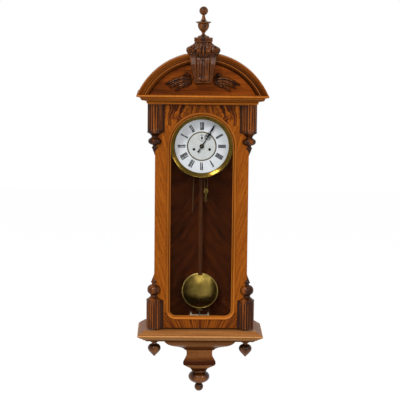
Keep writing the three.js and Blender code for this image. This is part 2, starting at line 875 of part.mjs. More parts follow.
// Urn finial on the keystone's cap
const urn_shares = [
  [0, 0, 0], [1, 0, 0], [1, 0.05, 0], [0.9, 0.08, 0], [0.42, 0.1, 0], [0, 0.13, 1], [0, 0.17, 1],
];
const urn_profile = urn_shares.map(([r, z, stem]) => [
  stem ? urn_stem_radius : r * urn_foot_radius, z * urn_height,
]);
const urn_bowl_shares = [
  [0.42, 0.21], [0.62, 0.27], [0.74, 0.37], [0.8, 0.42], [0.97, 0.45], [1, 0.475], [0.88, 0.5], [0.42, 0.53],
  [0.24, 0.6], [0.17, 0.7], [0.22, 0.735],
];
const urn_ball_start_share = 0.12;
urn_profile.push(...urn_bowl_shares.map(([r, z]) => [r * urn_rim_radius, z * urn_height]));
const urn_ball_z = urn_height - urn_ball_radius;
const urn_ball_step_count = 6;
for (let step = 1; step <= urn_ball_step_count; step += 1) {
  const turn_share = urn_ball_start_share + (1 - urn_ball_start_share) * step / urn_ball_step_count;
  const angle = Math.PI * (turn_share - 1 / 2);
  urn_profile.push([
    step === urn_ball_step_count ? 0 : urn_ball_radius * Math.cos(angle),
    urn_ball_z + urn_ball_radius * Math.sin(angle),
  ]);
}
const urn_y = -(keystone_back + keystone_depth / 2);
add('urn_finial', turned(urn_profile, 14), walnut, [0, urn_y, keystone_top + seat_gap]);

// Leaf sprays on the panel, each a drooping acanthus leaf
const spray_shares = [
  [0, 0.62], [0.04, 0.88], [0.14, 1], [0.24, 0.96], [0.26, 0.84], [0.4, 0.86], [0.5, 0.76], [0.54, 0.68],
  [0.68, 0.7], [0.78, 0.6], [0.84, 0.52], [0.95, 0.56], [1, 0.42], [0.96, 0.28], [0.86, 0.24], [0.74, 0.06],
  [0.66, 0], [0.58, 0.08], [0.52, 0.18], [0.44, 0.12], [0.36, 0.24], [0.28, 0.26], [0.16, 0.4], [0.06, 0.44],
];
const tympanum_front = tympanum_back + tympanum_thickness;
const spray_start = spray_start_share * arch_half_chord;
const spray_length = spray_length_share * arch_half_chord;
const spray_foot_height = spray_foot_share * arch_rise;
const spray_height = spray_height_share * arch_rise;
const spray_shape = outline(spray_shares.map(([along, rise]) => [
  spray_start + seat_gap + along * spray_length,
  pediment_foot + spray_foot_height + rise * spray_height,
]));
const spray_bevel = spray_thickness * 0.3;
const spray_slab = new THREE.ExtrudeGeometry(spray_shape, {
  depth: spray_thickness - spray_bevel, bevelEnabled: true, bevelThickness: spray_bevel,
  bevelSize: spray_bevel, bevelOffset: -spray_bevel, bevelSegments: 1,
});
spray_slab.rotateX(Math.PI / 2);
spray_slab.translate(0, -tympanum_front - seat_gap, 0);
const spray_seat = box(
  spray_start - overrun, spray_start + spray_length + overrun, -tympanum_front - seat_gap,
  -tympanum_front - spray_thickness - overrun, pediment_foot, pediment_foot + arch_radius,
);
const right_spray = cut(solid(spray_slab).intersect(spray_seat), keystone_space, arch_ring);
add('right_leaf_spray', right_spray, carved_walnut);
add('left_leaf_spray', right_spray.mirror([1, 0, 0]), carved_walnut);

// Door: frame, bead round the window and its glass
const door_back = -case_depth;
const door_front = door_back - door_thickness;

function window_outline(offset) {
  const points = [];
  const radius = window_radius + offset;
  const arch_step_count = 20;
  const corner_step_count = 4;
  for (let step = 0; step <= arch_step_count; step += 1) {
    const [x, z] = polar(radius, Math.PI * step / arch_step_count);
    points.push([x, window_centre_height + z]);
  }
  const corner_x = window_radius - window_corner_radius;
  const corner_z = window_bottom + window_corner_radius;
  for (const hand of [-1, 1]) {
    for (let step = 0; step <= corner_step_count; step += 1) {
      const turn = Math.PI / 2 * step / corner_step_count;
      const angle = hand < 0 ? Math.PI + turn : Math.PI * 3 / 2 + turn;
      const [x, z] = polar(window_corner_radius + offset, angle);
      points.push([hand * corner_x + x, corner_z + z]);
    }
  }
  return points;
}

const door_shape = rectangle(-door_half_width, door_half_width, door_bottom, door_top);
door_shape.holes.push(path_of(window_outline(bead_width + seat_gap)));
let door_frame = plate(door_shape, door_back, door_thickness);
const door_leaf_back = door_back - hinge_leaf_sink;
const knuckle_space = hinge_knuckle_radius + seat_gap;
function upright_bar(radius, low, high, x, y, sides = 10) {
  return turned([[0, low], [radius, low], [radius, high], [0, high]], sides).translate(x, y, 0);
}
for (const end of [1, -1]) {
  const [low, high] = hinge_span(end);
  door_frame = cut(
    door_frame,
    box(
      leaf_inner - seat_gap, door_half_width + overrun, door_back + overrun,
      door_leaf_back - hinge_leaf_thickness - seat_gap, low - seat_gap, high + seat_gap,
    ),
    upright_bar(knuckle_space, low - seat_gap, high + seat_gap, hinge_pin_x, door_back),
  );
}
add('door_frame', door_frame, walnut);
const bead_front = case_depth + door_thickness + bead_stand;
const bead_inner_depth = bead_front - bead_depth;
const bead_section = [
  [bead_width, bead_inner_depth], [bead_width, bead_front], [bead_width * 0.6, bead_front],
  [bead_width * 0.2, bead_front - bead_depth * 0.25], [0, bead_front - bead_depth * 0.5],
  [0, bead_inner_depth],
];
add('window_bead', framed_ring(window_outline, bead_section), walnut);
add('door_glass', plate(
  outline(window_outline(bead_width - seat_gap)), -(bead_inner_depth - seat_gap) + door_glass_thickness,
  door_glass_thickness,
), glass);

// Door columns: a fluted shaft notched over the door's edge, a collar, a bun and a pointed tip
function fluted_section() {
  const points = [];
  const pitch = 2 * Math.PI / column_flute_count;
  for (let flute = 0; flute < column_flute_count; flute += 1) {
    const start = pitch * flute;
    points.push(polar(column_radius, start - 0.12 * pitch), polar(column_radius, start + 0.12 * pitch));
    points.push(polar(column_radius - flute_depth, start + 0.36 * pitch));
    points.push(polar(column_radius - flute_depth, start + 0.64 * pitch));
  }
  return outline(points);
}

// Radius as a share of the column, height below the shaft
function turning_profile(bun_height) {
  const bun_top = collar_height + neck_height;
  const tip_top = bun_top + bun_height + neck_height * 0.7;
  return [
    [0, 0], [column_radius, 0], [column_radius * 1.02, -collar_height * 0.25],
    [column_radius * 0.93, -collar_height * 0.6], [column_radius * 0.7, -collar_height],
    [column_radius * 0.46, -bun_top + neck_height * 0.5],
    [bun_radius * 0.72, -bun_top - bun_height * 0.05], [bun_radius * 0.95, -bun_top - bun_height * 0.25],
    [bun_radius, -bun_top - bun_height * 0.5], [bun_radius * 0.93, -bun_top - bun_height * 0.74],
    [bun_radius * 0.64, -bun_top - bun_height * 0.95], [tip_radius * 0.8, -bun_top - bun_height],
    [tip_radius * 0.75, -tip_top], [tip_radius * 1.05, -tip_top - tip_height * 0.15],
    [tip_radius * 0.62, -tip_top - tip_height * 0.45], [0, -tip_top - tip_height],
  ];
}

function door_column(hand, upward) {
  const shaft_height = upward ? lower_shaft_height : upper_shaft_height;
  const shaft_end = upward ? case_bottom + column_foot_gap + shaft_height : door_top - shaft_height;
  const shaft_low = upward ? shaft_end - shaft_height : shaft_end;
  const axis = [door_half_width, -column_axis_depth];
  const shaft = column_solid(fluted_section(), shaft_low, shaft_height).translate(...axis, 0);
  let turning = turned(turning_profile(upward ? lower_bun_height : upper_bun_height), 14);
  if (upward) turning = turning.mirror([0, 0, 1]);
  turning = turning.translate(...axis, shaft_end);
  const strip_low = Math.max(upward ? shaft_low : shaft_end - collar_height, door_bottom + seat_gap);
  const strip_high = upward ? shaft_end + collar_height : door_top;
  const strip = box(
    door_half_width - column_backing_width, door_half_width,
    door_front - seat_gap, door_front - seat_gap - column_backing_thickness, strip_low, strip_high,
  );
  const [hinge_low, hinge_high] = hinge_span(upward ? -1 : 1);
  const reach = 2 * column_radius;
  const column = cut(
    join(shaft, turning, strip),
    box(
      door_half_width - 2 * reach, door_half_width + seat_gap, door_front - seat_gap, door_back + reach,
      shaft_low - 2 * case_height, shaft_low + 2 * case_height,
    ),
    box(0, door_half_width + reach, door_back, door_back + reach, -2 * case_height, 2 * case_height),
    upright_bar(knuckle_space, hinge_low - seat_gap, hinge_high + seat_gap, hinge_pin_x, door_back),
  );
  return hand > 0 ? column : column.mirror([1, 0, 0]);
}

add('upper_left_column', door_column(-1, false), carved_walnut);
add('upper_right_column', door_column(1, false), carved_walnut);
add('lower_left_column', door_column(-1, true), carved_walnut);
add('lower_right_column', door_column(1, true), carved_walnut);

// Butt hinges on the right: the case leaf carries the pin, the door leaf the middle knuckle
for (const [name, end] of [['upper', 1], ['lower', -1]]) {
  const [low, high] = hinge_span(end);
  const third = (high - low) / 3;
  const knuckle = (from, to) => upright_bar(hinge_knuckle_radius, from, to, hinge_pin_x, door_back);
  const case_leaf = box(
    leaf_inner, hinge_pin_x, case_leaf_front, case_leaf_front + hinge_leaf_thickness, low, high,
  );
  const middle_space = box(
    hinge_pin_x - knuckle_space, hinge_pin_x + knuckle_space,
    door_back - knuckle_space, door_back + knuckle_space, low + third, high - third,
  );
  const pin = upright_bar(hinge_pin_radius, low, high, hinge_pin_x, door_back);
  const outer_knuckles = join(case_leaf, knuckle(low, low + third), knuckle(high - third, high));
  add(`${name}_hinge`, join(cut(outer_knuckles, middle_space), pin), brass);
  const door_leaf = join(
    box(leaf_inner, hinge_pin_x, door_leaf_back, door_leaf_back - hinge_leaf_thickness, low, high),
    knuckle(low + third + seat_gap, high - third - seat_gap),
  );
  const end_space = (from, to) => box(
    hinge_pin_x - knuckle_space, hinge_pin_x + knuckle_space,
    door_back - knuckle_space, door_back + knuckle_space, from, to,
  );
  add(`${name}_hinge_leaf`, cut(
    door_leaf,
    end_space(low - overrun, low + third + seat_gap),
    end_space(high - third - seat_gap, high + overrun),
    upright_bar(hinge_pin_radius + pivot_play, low, high, hinge_pin_x, door_back),
  ), brass);
}

// Arbor places in the movement, as X and Z
const centre = [0, 0];
const going_arbor = [winding_spread, -winding_drop];
const strike_arbor = [-winding_spread, -winding_drop];
const escape_arbor = [0, escape_rise];
const third_z = (centre_to_third ** 2 - third_to_escape ** 2 + escape_rise ** 2) / (2 * escape_rise);
const third_arbor = [-Math.sqrt(centre_to_third ** 2 - third_z ** 2), third_z];
const minute_arbor = [0, -motion_distance];
const pin_turn = pin_arbor_angle * Math.PI / 180;
const pin_arbor = [
  strike_arbor[0] + strike_to_pin * Math.cos(pin_turn), strike_arbor[1] + strike_to_pin * Math.sin(pin_turn),
];
const anchor_arbor = [0, suspension_height];
const hammer_arbor = [hammer_x, hammer_z];
const place_at = ([x, z]) => [x, 0, z];

// Depths of the two plates
const plates_inner = back_plate_depth + plate_thickness;
const front_plate_depth = plates_inner + plate_spacing;
const front_face = front_plate_depth + plate_thickness;
const arbor_back = back_plate_depth + seat_gap;
const arbor_front = front_face - seat_gap;

// Movement plates with their pillars and dial posts
const pillar_places = [-1, 1].flatMap((hand) => [
  [hand * (plate_half_width - pillar_inset), plate_bottom + pillar_inset],
  [hand * (plate_half_width - pillar_inset), plate_top - pillar_inset],
]);
const pivot_hole = (radius, [x, z]) => round_bar(radius + pivot_play, 0, dial_back_depth, x, z, 10);
const train_holes = [centre, third_arbor, escape_arbor, pin_arbor, anchor_arbor, hammer_arbor]
  .map((place) => pivot_hole(arbor_radius, place));
const winding_holes = [going_arbor, strike_arbor].map((place) => pivot_hole(winding_arbor_radius, place));
const plate_shape = rectangle(-plate_half_width, plate_half_width, plate_bottom, plate_top);
const pillars = pillar_places.map(([x, z]) => round_bar(
  pillar_radius, plates_inner - plate_thickness / 2, front_plate_depth - seat_gap, x, z, 10,
));
add('movement_back_plate', cut(
  join(plate(plate_shape, -back_plate_depth, plate_thickness), ...pillars), ...train_holes, ...winding_holes,
), brass);
const posts = pillar_places.map(([x, z]) => round_bar(
  dial_post_radius, front_face - plate_thickness / 2, dial_back_depth - seat_gap, x, z, 8,
));
const stud_radius = arbor_radius - pivot_play / 2;
const motion_front = front_face + 2 * (motion_plane_gap + motion_wheel) + motion_plane_gap;
const motion_stud = round_bar(
  stud_radius, front_face - plate_thickness / 2, motion_front, ...minute_arbor, 10,
);
add('movement_front_plate', join(
  cut(plate(plate_shape, -front_plate_depth, plate_thickness), ...train_holes, ...winding_holes),
  ...posts, motion_stud,
), brass);

// Bracket on the backboard that carries the movement and the fixed ends of the lines
const bracket_top = plate_bottom - seat_gap;
const bracket_back = back_thickness + seat_gap;
const bracket_outer = bracket_spread + bracket_arm_half_width;
const bracket_bar = box(
  -bracket_outer, bracket_outer, -bracket_back, -bracket_back - bracket_plate_thickness,
  bracket_top - bracket_bar_height, bracket_top,
);
const bracket_arms = [-1, 1].map((hand) => box(
  hand * bracket_spread - bracket_arm_half_width, hand * bracket_spread + bracket_arm_half_width,
  -bracket_back, -bracket_reach, bracket_top - bracket_arm_height, bracket_top,
));
const right_strand_x = winding_spread - line_wrap_radius;
const groove_line_radius = sheave_groove_radius + line_radius;
const pulley_x = right_strand_x + groove_line_radius;
const fixed_strand_x = pulley_x + groove_line_radius;
const lug_half = line_lug_thickness / 2;
const line_lugs = [[-1, loose_line_x], [1, fixed_strand_x]].map(([hand, lug_x]) => box(
  hand * (lug_x - lug_half), hand * bracket_spread, -line_depth - lug_half, -line_depth + lug_half,
  bracket_top - bracket_arm_height, bracket_top - bracket_arm_height + line_lug_thickness,
));
add('movement_bracket', join(bracket_bar, ...bracket_arms, ...line_lugs), iron);

// Modules follow from the distances between the arbors
const great_distance = Math.hypot(...going_arbor);
const great_module = 2 * great_distance / (great_tooth_count + centre_leaf_count);
const centre_module = 2 * centre_to_third / (centre_tooth_count + third_leaf_count);
const third_module = 2 * third_to_escape / (third_tooth_count + escape_leaf_count);
const cannon_module = 2 * motion_distance / (cannon_leaf_count + minute_tooth_count);
const hour_module = 2 * motion_distance / (minute_leaf_count + hour_tooth_count);
const strike_module = 2 * strike_to_pin / (strike_tooth_count + pin_leaf_count);
const gap_turn = (teeth) => Math.PI / teeth;
const train_arbor = round_bar(arbor_radius, arbor_back, arbor_front, 0, 0, 8);

// Great wheel, free on the winding arbor
const great_depth = plates_inner + great_wheel_plane;
const winding_bore = round_bar(winding_arbor_radius + pivot_play, 0, dial_back_depth);
add('great_wheel', cut(
  toothed_wheel(
    great_tooth_count, great_module, angle_between(going_arbor, centre), great_depth, thick_wheel,
  ),
  winding_bore,
), brass, place_at(going_arbor));

// Drums with their arbors and winding squares
const drum_radius = line_wrap_radius - line_radius - seat_gap;
const drum_start = plates_inner + drum_plane;
const square_start = front_face + motion_plane_gap;
const square_end = dial_back_depth + dial_thickness - motion_plane_gap;
const drum_profile = [
  [0, drum_start], [drum_flange_radius, drum_start], [drum_flange_radius, drum_start + drum_flange],
  [drum_radius, drum_start + drum_flange], [drum_radius, drum_start + drum_length - drum_flange],
  [drum_flange_radius, drum_start + drum_length - drum_flange],
  [drum_flange_radius, drum_start + drum_length],
  [0, drum_start + drum_length],
];
const winding_barrel = join(
  spun(drum_profile, 20),
  round_bar(winding_arbor_radius, arbor_back, square_start),
  box(
    -winding_square_half, winding_square_half, -square_start + overrun, -square_end,
    -winding_square_half, winding_square_half,
  ),
);
add('winding_drum', winding_barrel, brass, place_at(going_arbor));
const strike_depth = plates_inner + strike_wheel_plane;
add('strike_drum', join(
  winding_barrel,
  toothed_wheel(
    strike_tooth_count, strike_module, angle_between(strike_arbor, pin_arbor), strike_depth, thick_wheel,
  ),
), brass, place_at(strike_arbor));

// Centre wheel with its pinion, and the cannon pinion and pipe that carry the minute hand
const centre_depth = plates_inner + centre_wheel_plane;
const hand_face = dial_back_depth + dial_thickness;
const minute_hand_back = hand_face + minute_hand_lift;
const cannon_depth = front_face + motion_plane_gap;
const hour_wheel_depth = cannon_depth + motion_wheel + motion_plane_gap;
add('centre_wheel', join(
  train_arbor,
  toothed_wheel(
    centre_tooth_count, centre_module, angle_between(centre, third_arbor), centre_depth, thin_wheel, true,
  ),
  pinion(
    centre_leaf_count, great_module,
    angle_between(centre, going_arbor) + gap_turn(centre_leaf_count),
    great_depth - pinion_overlap, great_depth + thick_wheel + pinion_overlap,
  ),
  round_bar(arbor_radius, arbor_front, cannon_depth, 0, 0, 8),
  pinion(
    cannon_leaf_count, cannon_module, angle_between(centre, minute_arbor) + gap_turn(cannon_leaf_count),
    cannon_depth - motion_plane_gap / 2, cannon_depth + motion_wheel + motion_plane_gap / 2,
  ),
  round_bar(minute_pipe_radius, cannon_depth + motion_wheel, minute_hand_back + hand_thickness),
), brass);

// Third wheel and escape wheel
const third_depth = plates_inner + third_wheel_plane;
add('third_wheel', join(
  train_arbor,
  pinion(
    third_leaf_count, centre_module, angle_between(third_arbor, centre) + gap_turn(third_leaf_count),
    centre_depth - pinion_overlap, centre_depth + thin_wheel + pinion_overlap,
  ),
  toothed_wheel(
    third_tooth_count, third_module, angle_between(third_arbor, escape_arbor), third_depth, thin_wheel, true,
  ),
), brass, place_at(third_arbor));

const escape_depth = plates_inner + escape_wheel_plane;
const escape_points = [];
for (let tooth = 0; tooth < escape_tooth_count; tooth += 1) {
  const turn = 2 * Math.PI / escape_tooth_count;
  escape_points.push(polar(escape_radius - escape_tooth_depth, (tooth - 0.22) * turn));
  escape_points.push(polar(escape_radius, tooth * turn));
}
const escape_shape = cross_out(
  outline(escape_points), (escape_radius - escape_tooth_depth) * (rim_share + hub_share / 4),
  escape_radius * hub_share, wheel_spoke_count, escape_radius * spoke_share / 2,
);
const seconds_arbor_front = hand_face + seconds_hand_lift + hand_thickness / 2;
add('escape_wheel', join(
  train_arbor,
  round_bar(arbor_radius, arbor_front, seconds_arbor_front, 0, 0, 8),
  plate(escape_shape, -escape_depth, thin_wheel),
  pinion(
    escape_leaf_count, third_module,
    angle_between(escape_arbor, third_arbor) + gap_turn(escape_leaf_count),
    third_depth - pinion_overlap, third_depth + thin_wheel + pinion_overlap,
  ),
), brass, place_at(escape_arbor));

// Motion work: minute wheel on its stud, hour wheel with its pipe
const stud_bore = round_bar(arbor_radius + pivot_play, 0, dial_back_depth);
add('minute_wheel', cut(
  join(
    toothed_wheel(
      minute_tooth_count, cannon_module, angle_between(minute_arbor, centre), cannon_depth, motion_wheel,
    ),
    pinion(
      minute_leaf_count, hour_module, angle_between(minute_arbor, centre) + gap_turn(minute_leaf_count),
      cannon_depth + motion_wheel, hour_wheel_depth + motion_wheel,
    ),
  ),
  stud_bore,
), brass, place_at(minute_arbor));
const hour_hand_back = hand_face + hour_hand_lift;
add('hour_wheel', cut(
  join(
    toothed_wheel(
      hour_tooth_count, hour_module, angle_between(centre, minute_arbor), hour_wheel_depth, motion_wheel,
    ),
    round_bar(hour_pipe_radius, hour_wheel_depth, hour_hand_back + hand_thickness, 0, 0, 16),
  ),
  round_bar(minute_pipe_radius + pivot_play, 0, hour_hand_back + overrun, 0, 0, 12),
), brass);

// Dial, its brass ring and the bezel
const dial_shape = outline(circle_points(0, 0, dial_radius, 32));
function round_hole(shape, [x, z], radius) {
  shape.holes.push(path_of(circle_points(x, z, radius, 12)));
}
round_hole(dial_shape, centre, dial_centre_hole);
round_hole(dial_shape, going_arbor, winding_hole_radius);
round_hole(dial_shape, strike_arbor, winding_hole_radius);
round_hole(dial_shape, escape_arbor, seconds_hole_radius);
add('dial', plate(dial_shape, -dial_back_depth, dial_thickness), enamel);
const bezel_profile_shares = [
  [0, 0], [0.42, 0], [0.44, -0.25], [1, -0.25], [1, 0.55], [0.94, 0.9], [0.8, 1], [0.62, 0.9], [0.2, 0.42],
  [0, 0.3], [0, 0],
];
const bezel_seat = hand_face + seat_gap;
add('dial_bezel', spun(bezel_profile_shares.map(([width_share, depth_share]) => [
  bezel_inner + width_share * (bezel_outer - bezel_inner), bezel_seat + depth_share * bezel_depth,
]), 32), brass);
add('dial_ring', tube(
  dial_ring_outer, dial_ring_inner, hand_face + seat_gap, hand_face + seat_gap + dial_ring_thickness, 36,
), brass);

// Hands, drawn upright and turned to the time shown
const hand_turn = (turns) => -turns * 360;
function hand_bar(points, back) {
  return plate(outline(points), -back, hand_thickness);
}
function hand_ring(x, z, outer, inner, back, sides = 12) {
  const ring = tube(outer, inner, back, back + hand_thickness, sides);
  return ring.translate(x, 0, z);
}
const hour_tip_shares = [[0.02, 0.12], [0.018, 0.55], [0.05, 0.8], [0.075, 0.86], [0.03, 0.92], [0, 1]];
function tapered_hand(shares, length, back) {
  const right = shares.map(([half_share, along_share]) => [half_share * length, along_share * length]);
  return hand_bar(right.concat(right.slice(0, -1).map(([x, z]) => [-x, z]).reverse()), back);
}
const hour_rosette_z = hour_hand_length * 0.68;
const rosette_inner = hour_rosette_radius * 0.36;
let hour_hand = join(
  tapered_hand(hour_tip_shares, hour_hand_length, hour_hand_back),
  hand_ring(0, 0, hand_boss_radius, hour_pipe_radius + pivot_play, hour_hand_back, 16),
);
for (const [x_share, z_share] of [[-0.5, 0.35], [0.5, 0.35], [-0.5, -0.35], [0.5, -0.35]]) {
  hour_hand = join(hour_hand, hand_ring(
    x_share * hour_rosette_radius, hour_rosette_z + z_share * hour_rosette_radius,
    hour_rosette_radius * 0.55, rosette_inner, hour_hand_back, 10,
  ));
}
const pipe_space = (radius) => round_bar(radius + pivot_play, 0, 2 * dial_back_depth, 0, 0, 16);
hour_hand = cut(hour_hand, pipe_space(hour_pipe_radius));
add('hour_hand', hour_hand.rotate([0, -hand_turn(shown_minutes / 720), 0]), blued_steel);

const minute_tip_shares = [
  [0.011, 0.07], [0.012, 0.6], [0.034, 0.72], [0.038, 0.78], [0.012, 0.86], [0, 1],
];
const minute_tail_points = [
  [-0.06 * minute_tail, -hand_boss_radius * 0.8], [0.06 * minute_tail, -hand_boss_radius * 0.8],
  [0.16 * minute_tail, -0.72 * minute_tail], [0.1 * minute_tail, -minute_tail],
  [-0.1 * minute_tail, -minute_tail], [-0.16 * minute_tail, -0.72 * minute_tail],
];
const minute_ornament_radius = hand_boss_radius * 0.5;
const minute_ornament_z = minute_hand_length * 0.58;
let minute_hand = join(
  tapered_hand(minute_tip_shares, minute_hand_length, minute_hand_back),
  hand_bar(minute_tail_points, minute_hand_back),
  hand_ring(0, 0, hand_boss_radius, minute_pipe_radius + pivot_play, minute_hand_back, 16),
  ...[-1, 1].map((hand) => hand_ring(
    hand * minute_ornament_radius * 0.8, minute_ornament_z,
    minute_ornament_radius, minute_ornament_radius * 0.6, minute_hand_back, 10,
  )),
);
minute_hand = cut(minute_hand, pipe_space(minute_pipe_radius));
add('minute_hand', minute_hand.rotate([0, -hand_turn(shown_minutes / 60), 0]), blued_steel);

const seconds_back = hand_face + seconds_hand_lift;
const seconds_half = arbor_radius * 0.35;
add('seconds_hand', cut(
  join(
    hand_bar([
      [-seconds_half, -seconds_tail], [seconds_half, -seconds_tail],
      [seconds_half, seconds_hand_length * 0.8], [0, seconds_hand_length],
      [-seconds_half, seconds_hand_length * 0.8],
    ], seconds_back),
    round_bar(arbor_radius * 1.9, seconds_back, seconds_back + hand_thickness),
  ),
  pipe_space(arbor_radius),
), blued_steel, place_at(escape_arbor));

// Strike: pin wheel and hammer
const pin_depth = plates_inner + pin_wheel_plane;
const pin_shape = outline(circle_points(0, 0, pin_wheel_radius, 24));
cross_out(
  pin_shape, pin_wheel_radius * (rim_share - hub_share / 2), pin_wheel_radius * hub_share, wheel_spoke_count,
  pin_wheel_radius * spoke_share / 2,
);
const pin_circle = pin_wheel_radius * (rim_share + 0.06);
let pin_wheel = join(
  train_arbor, plate(pin_shape, -pin_depth, thin_wheel),
  pinion(
    pin_leaf_count, strike_module, angle_between(pin_arbor, strike_arbor) + gap_turn(pin_leaf_count),
    strike_depth - pinion_overlap, strike_depth + thick_wheel + pinion_overlap,
  ),
);
for (let pin = 0; pin < strike_pin_count; pin += 1) {
  pin_wheel = join(pin_wheel, round_bar(
    strike_pin_radius, pin_depth + thin_wheel / 2, pin_depth + thin_wheel + strike_pin_length,
    ...polar(pin_circle, 2 * Math.PI * pin / strike_pin_count), 6,
  ));
}
add('pin_wheel', pin_wheel, brass, place_at(pin_arbor));

const gong_z = -gong_drop;
const hammer_face_x = -(gong_radius + gong_wire_radius + hammer_gap);
const hammer_head_x = hammer_face_x - hammer_head_length / 2;
const hammer_head = turned(
  [[0, 0], [hammer_head_radius, 0], [hammer_head_radius, hammer_head_length], [0, hammer_head_length]], 16,
).rotate([0, 90, 0]).translate(hammer_face_x - hammer_head_length, -gong_depth, gong_z);
const arm_direction = angle_between(hammer_arbor, [hammer_head_x, gong_z]);
const arm_side = polar(hammer_arm_half_width, arm_direction + Math.PI / 2);
function bar_between(from, to, side, depth, thickness) {
  return plate(outline([
    [from[0] - side[0], from[1] - side[1]], [to[0] - side[0], to[1] - side[1]],
    [to[0] + side[0], to[1] + side[1]], [from[0] + side[0], from[1] + side[1]],
  ]), -depth, thickness);
}
const hammer_arm = bar_between(
  hammer_arbor, [hammer_head_x, gong_z], arm_side, hammer_arm_depth, 2 * hammer_arm_half_width,
);
const hammer_neck = box(
  hammer_head_x - hammer_arm_half_width, hammer_head_x + hammer_arm_half_width,
  -gong_depth, -hammer_arm_depth - hammer_arm_half_width,
  gong_z - hammer_arm_half_width, gong_z + hammer_arm_half_width,
);
const tail_depth = pin_depth + thin_wheel + strike_pin_length / 2;
const tail_direction = angle_between(hammer_arbor, pin_arbor);
const tail_end = [
  hammer_arbor[0] + hammer_tail_length * Math.cos(tail_direction),
  hammer_arbor[1] + hammer_tail_length * Math.sin(tail_direction),
];
const tail_side = polar(hammer_arm_half_width, tail_direction + Math.PI / 2);
add('strike_hammer', join(
  round_bar(arbor_radius, hammer_arm_depth, arbor_front, ...hammer_arbor, 12),
  hammer_arm, hammer_neck, hammer_head,
  bar_between(hammer_arbor, tail_end, tail_side, tail_depth, hammer_arm_half_width),
), steel);

// Coiled gong on its block
const gong_turn_step_count = 24;
const gong_side_count = 6;
const gong_step_count = gong_turn_count * gong_turn_step_count;
const gong_coil = bent_wire(gong_wire_radius, gong_depth, gong_step_count, gong_side_count, (step) => [
  gong_radius - gong_pitch * step / gong_turn_step_count,
  2 * Math.PI * step / gong_turn_step_count - Math.PI / 2,
]);
const gong_block_top = gong_z - gong_radius + 2 * gong_wire_radius;
const gong_block = box(
  -gong_block_half_width, gong_block_half_width, -bracket_back, -gong_depth - gong_block_half_width / 2,
  gong_block_top - gong_block_height, gong_block_top,
);
add('gong', join(gong_coil.body.translate(0, 0, gong_z), gong_block), steel);

// Least gap of the coil to itself, between points at least half a turn apart
const half_turn_point_count = gong_turn_step_count / 2 * gong_side_count;
let gong_gap = gong_radius;
gong_coil.places.forEach((place, index) => {
  for (const other of gong_coil.places.slice(index + half_turn_point_count)) {
    gong_gap = Math.min(gong_gap, Math.hypot(...place.map((value, axis) => value - other[axis])));
  }
});
console.log(`gong turns clear each other by ${gong_gap.toFixed(2)} mm`);

// Anchor with its crutch, on one arbor behind the hands
const pallet_radius = escape_radius + pallet_clearance;
const anchor_reach = suspension_height - escape_rise;
const pallet_spread = Math.acos(escape_radius / anchor_reach);
const pallet_place = [
  pallet_radius * Math.sin(pallet_spread), pallet_radius * Math.cos(pallet_spread) - anchor_reach,
];
const pallet_drop = anchor_arm_width * 0.9;
const anchor_right = [
  [0, anchor_arm_width * 0.6], [anchor_arm_width * 0.9, anchor_arm_width * 0.2],
  [pallet_place[0] + anchor_arm_width * 0.95, pallet_place[1] + anchor_arm_width * 1.6],
  [pallet_place[0] + anchor_arm_width * 0.8, pallet_place[1]],
  [pallet_place[0] + anchor_arm_width * 0.35, pallet_place[1] - pallet_drop],
  [pallet_place[0], pallet_place[1]],
  [pallet_place[0] - anchor_arm_width * 0.1, pallet_place[1] + anchor_arm_width * 1.4],
  [0, -anchor_arm_width],
];
const anchor_shape = outline(
  anchor_right.concat(anchor_right.slice(1, -1).map(([x, z]) => [-x, z]).reverse()),
);
const crutch_depth = pendulum_depth + rod_thickness / 2 + crutch_gap;
const rod_gap_half = rod_width / 2 + seat_gap;
const fork_outer = rod_gap_half + crutch_prong;
const crutch_back = pendulum_depth - rod_thickness / 2;
const anchor_body = join(
  plate(anchor_shape, -escape_depth + (anchor_thickness - thin_wheel) / 2, anchor_thickness),
  round_bar(
    anchor_hub_radius, escape_depth - anchor_thickness, escape_depth + 2 * anchor_thickness, 0, 0, 16,
  ),
  round_bar(arbor_radius, crutch_depth, arbor_front, 0, 0, 12),
  round_bar(anchor_hub_radius, crutch_depth, crutch_depth + crutch_thickness, 0, 0, 16),
  box(
    -crutch_arm_half_width, crutch_arm_half_width, -crutch_depth, -crutch_depth - crutch_thickness,
    -crutch_length, 0,
  ),
  box(
    -fork_outer, fork_outer, -crutch_depth, -crutch_depth - crutch_thickness,
    -crutch_length - 2 * crutch_arm_half_width, -crutch_length,
  ),
  ...[-1, 1].map((hand) => box(
    hand * rod_gap_half, hand * fork_outer, -crutch_back, -crutch_depth - crutch_thickness,
    -crutch_length - 2 * crutch_arm_half_width, -crutch_length,
  )),
);
add('anchor', anchor_body, steel, place_at(anchor_arbor));

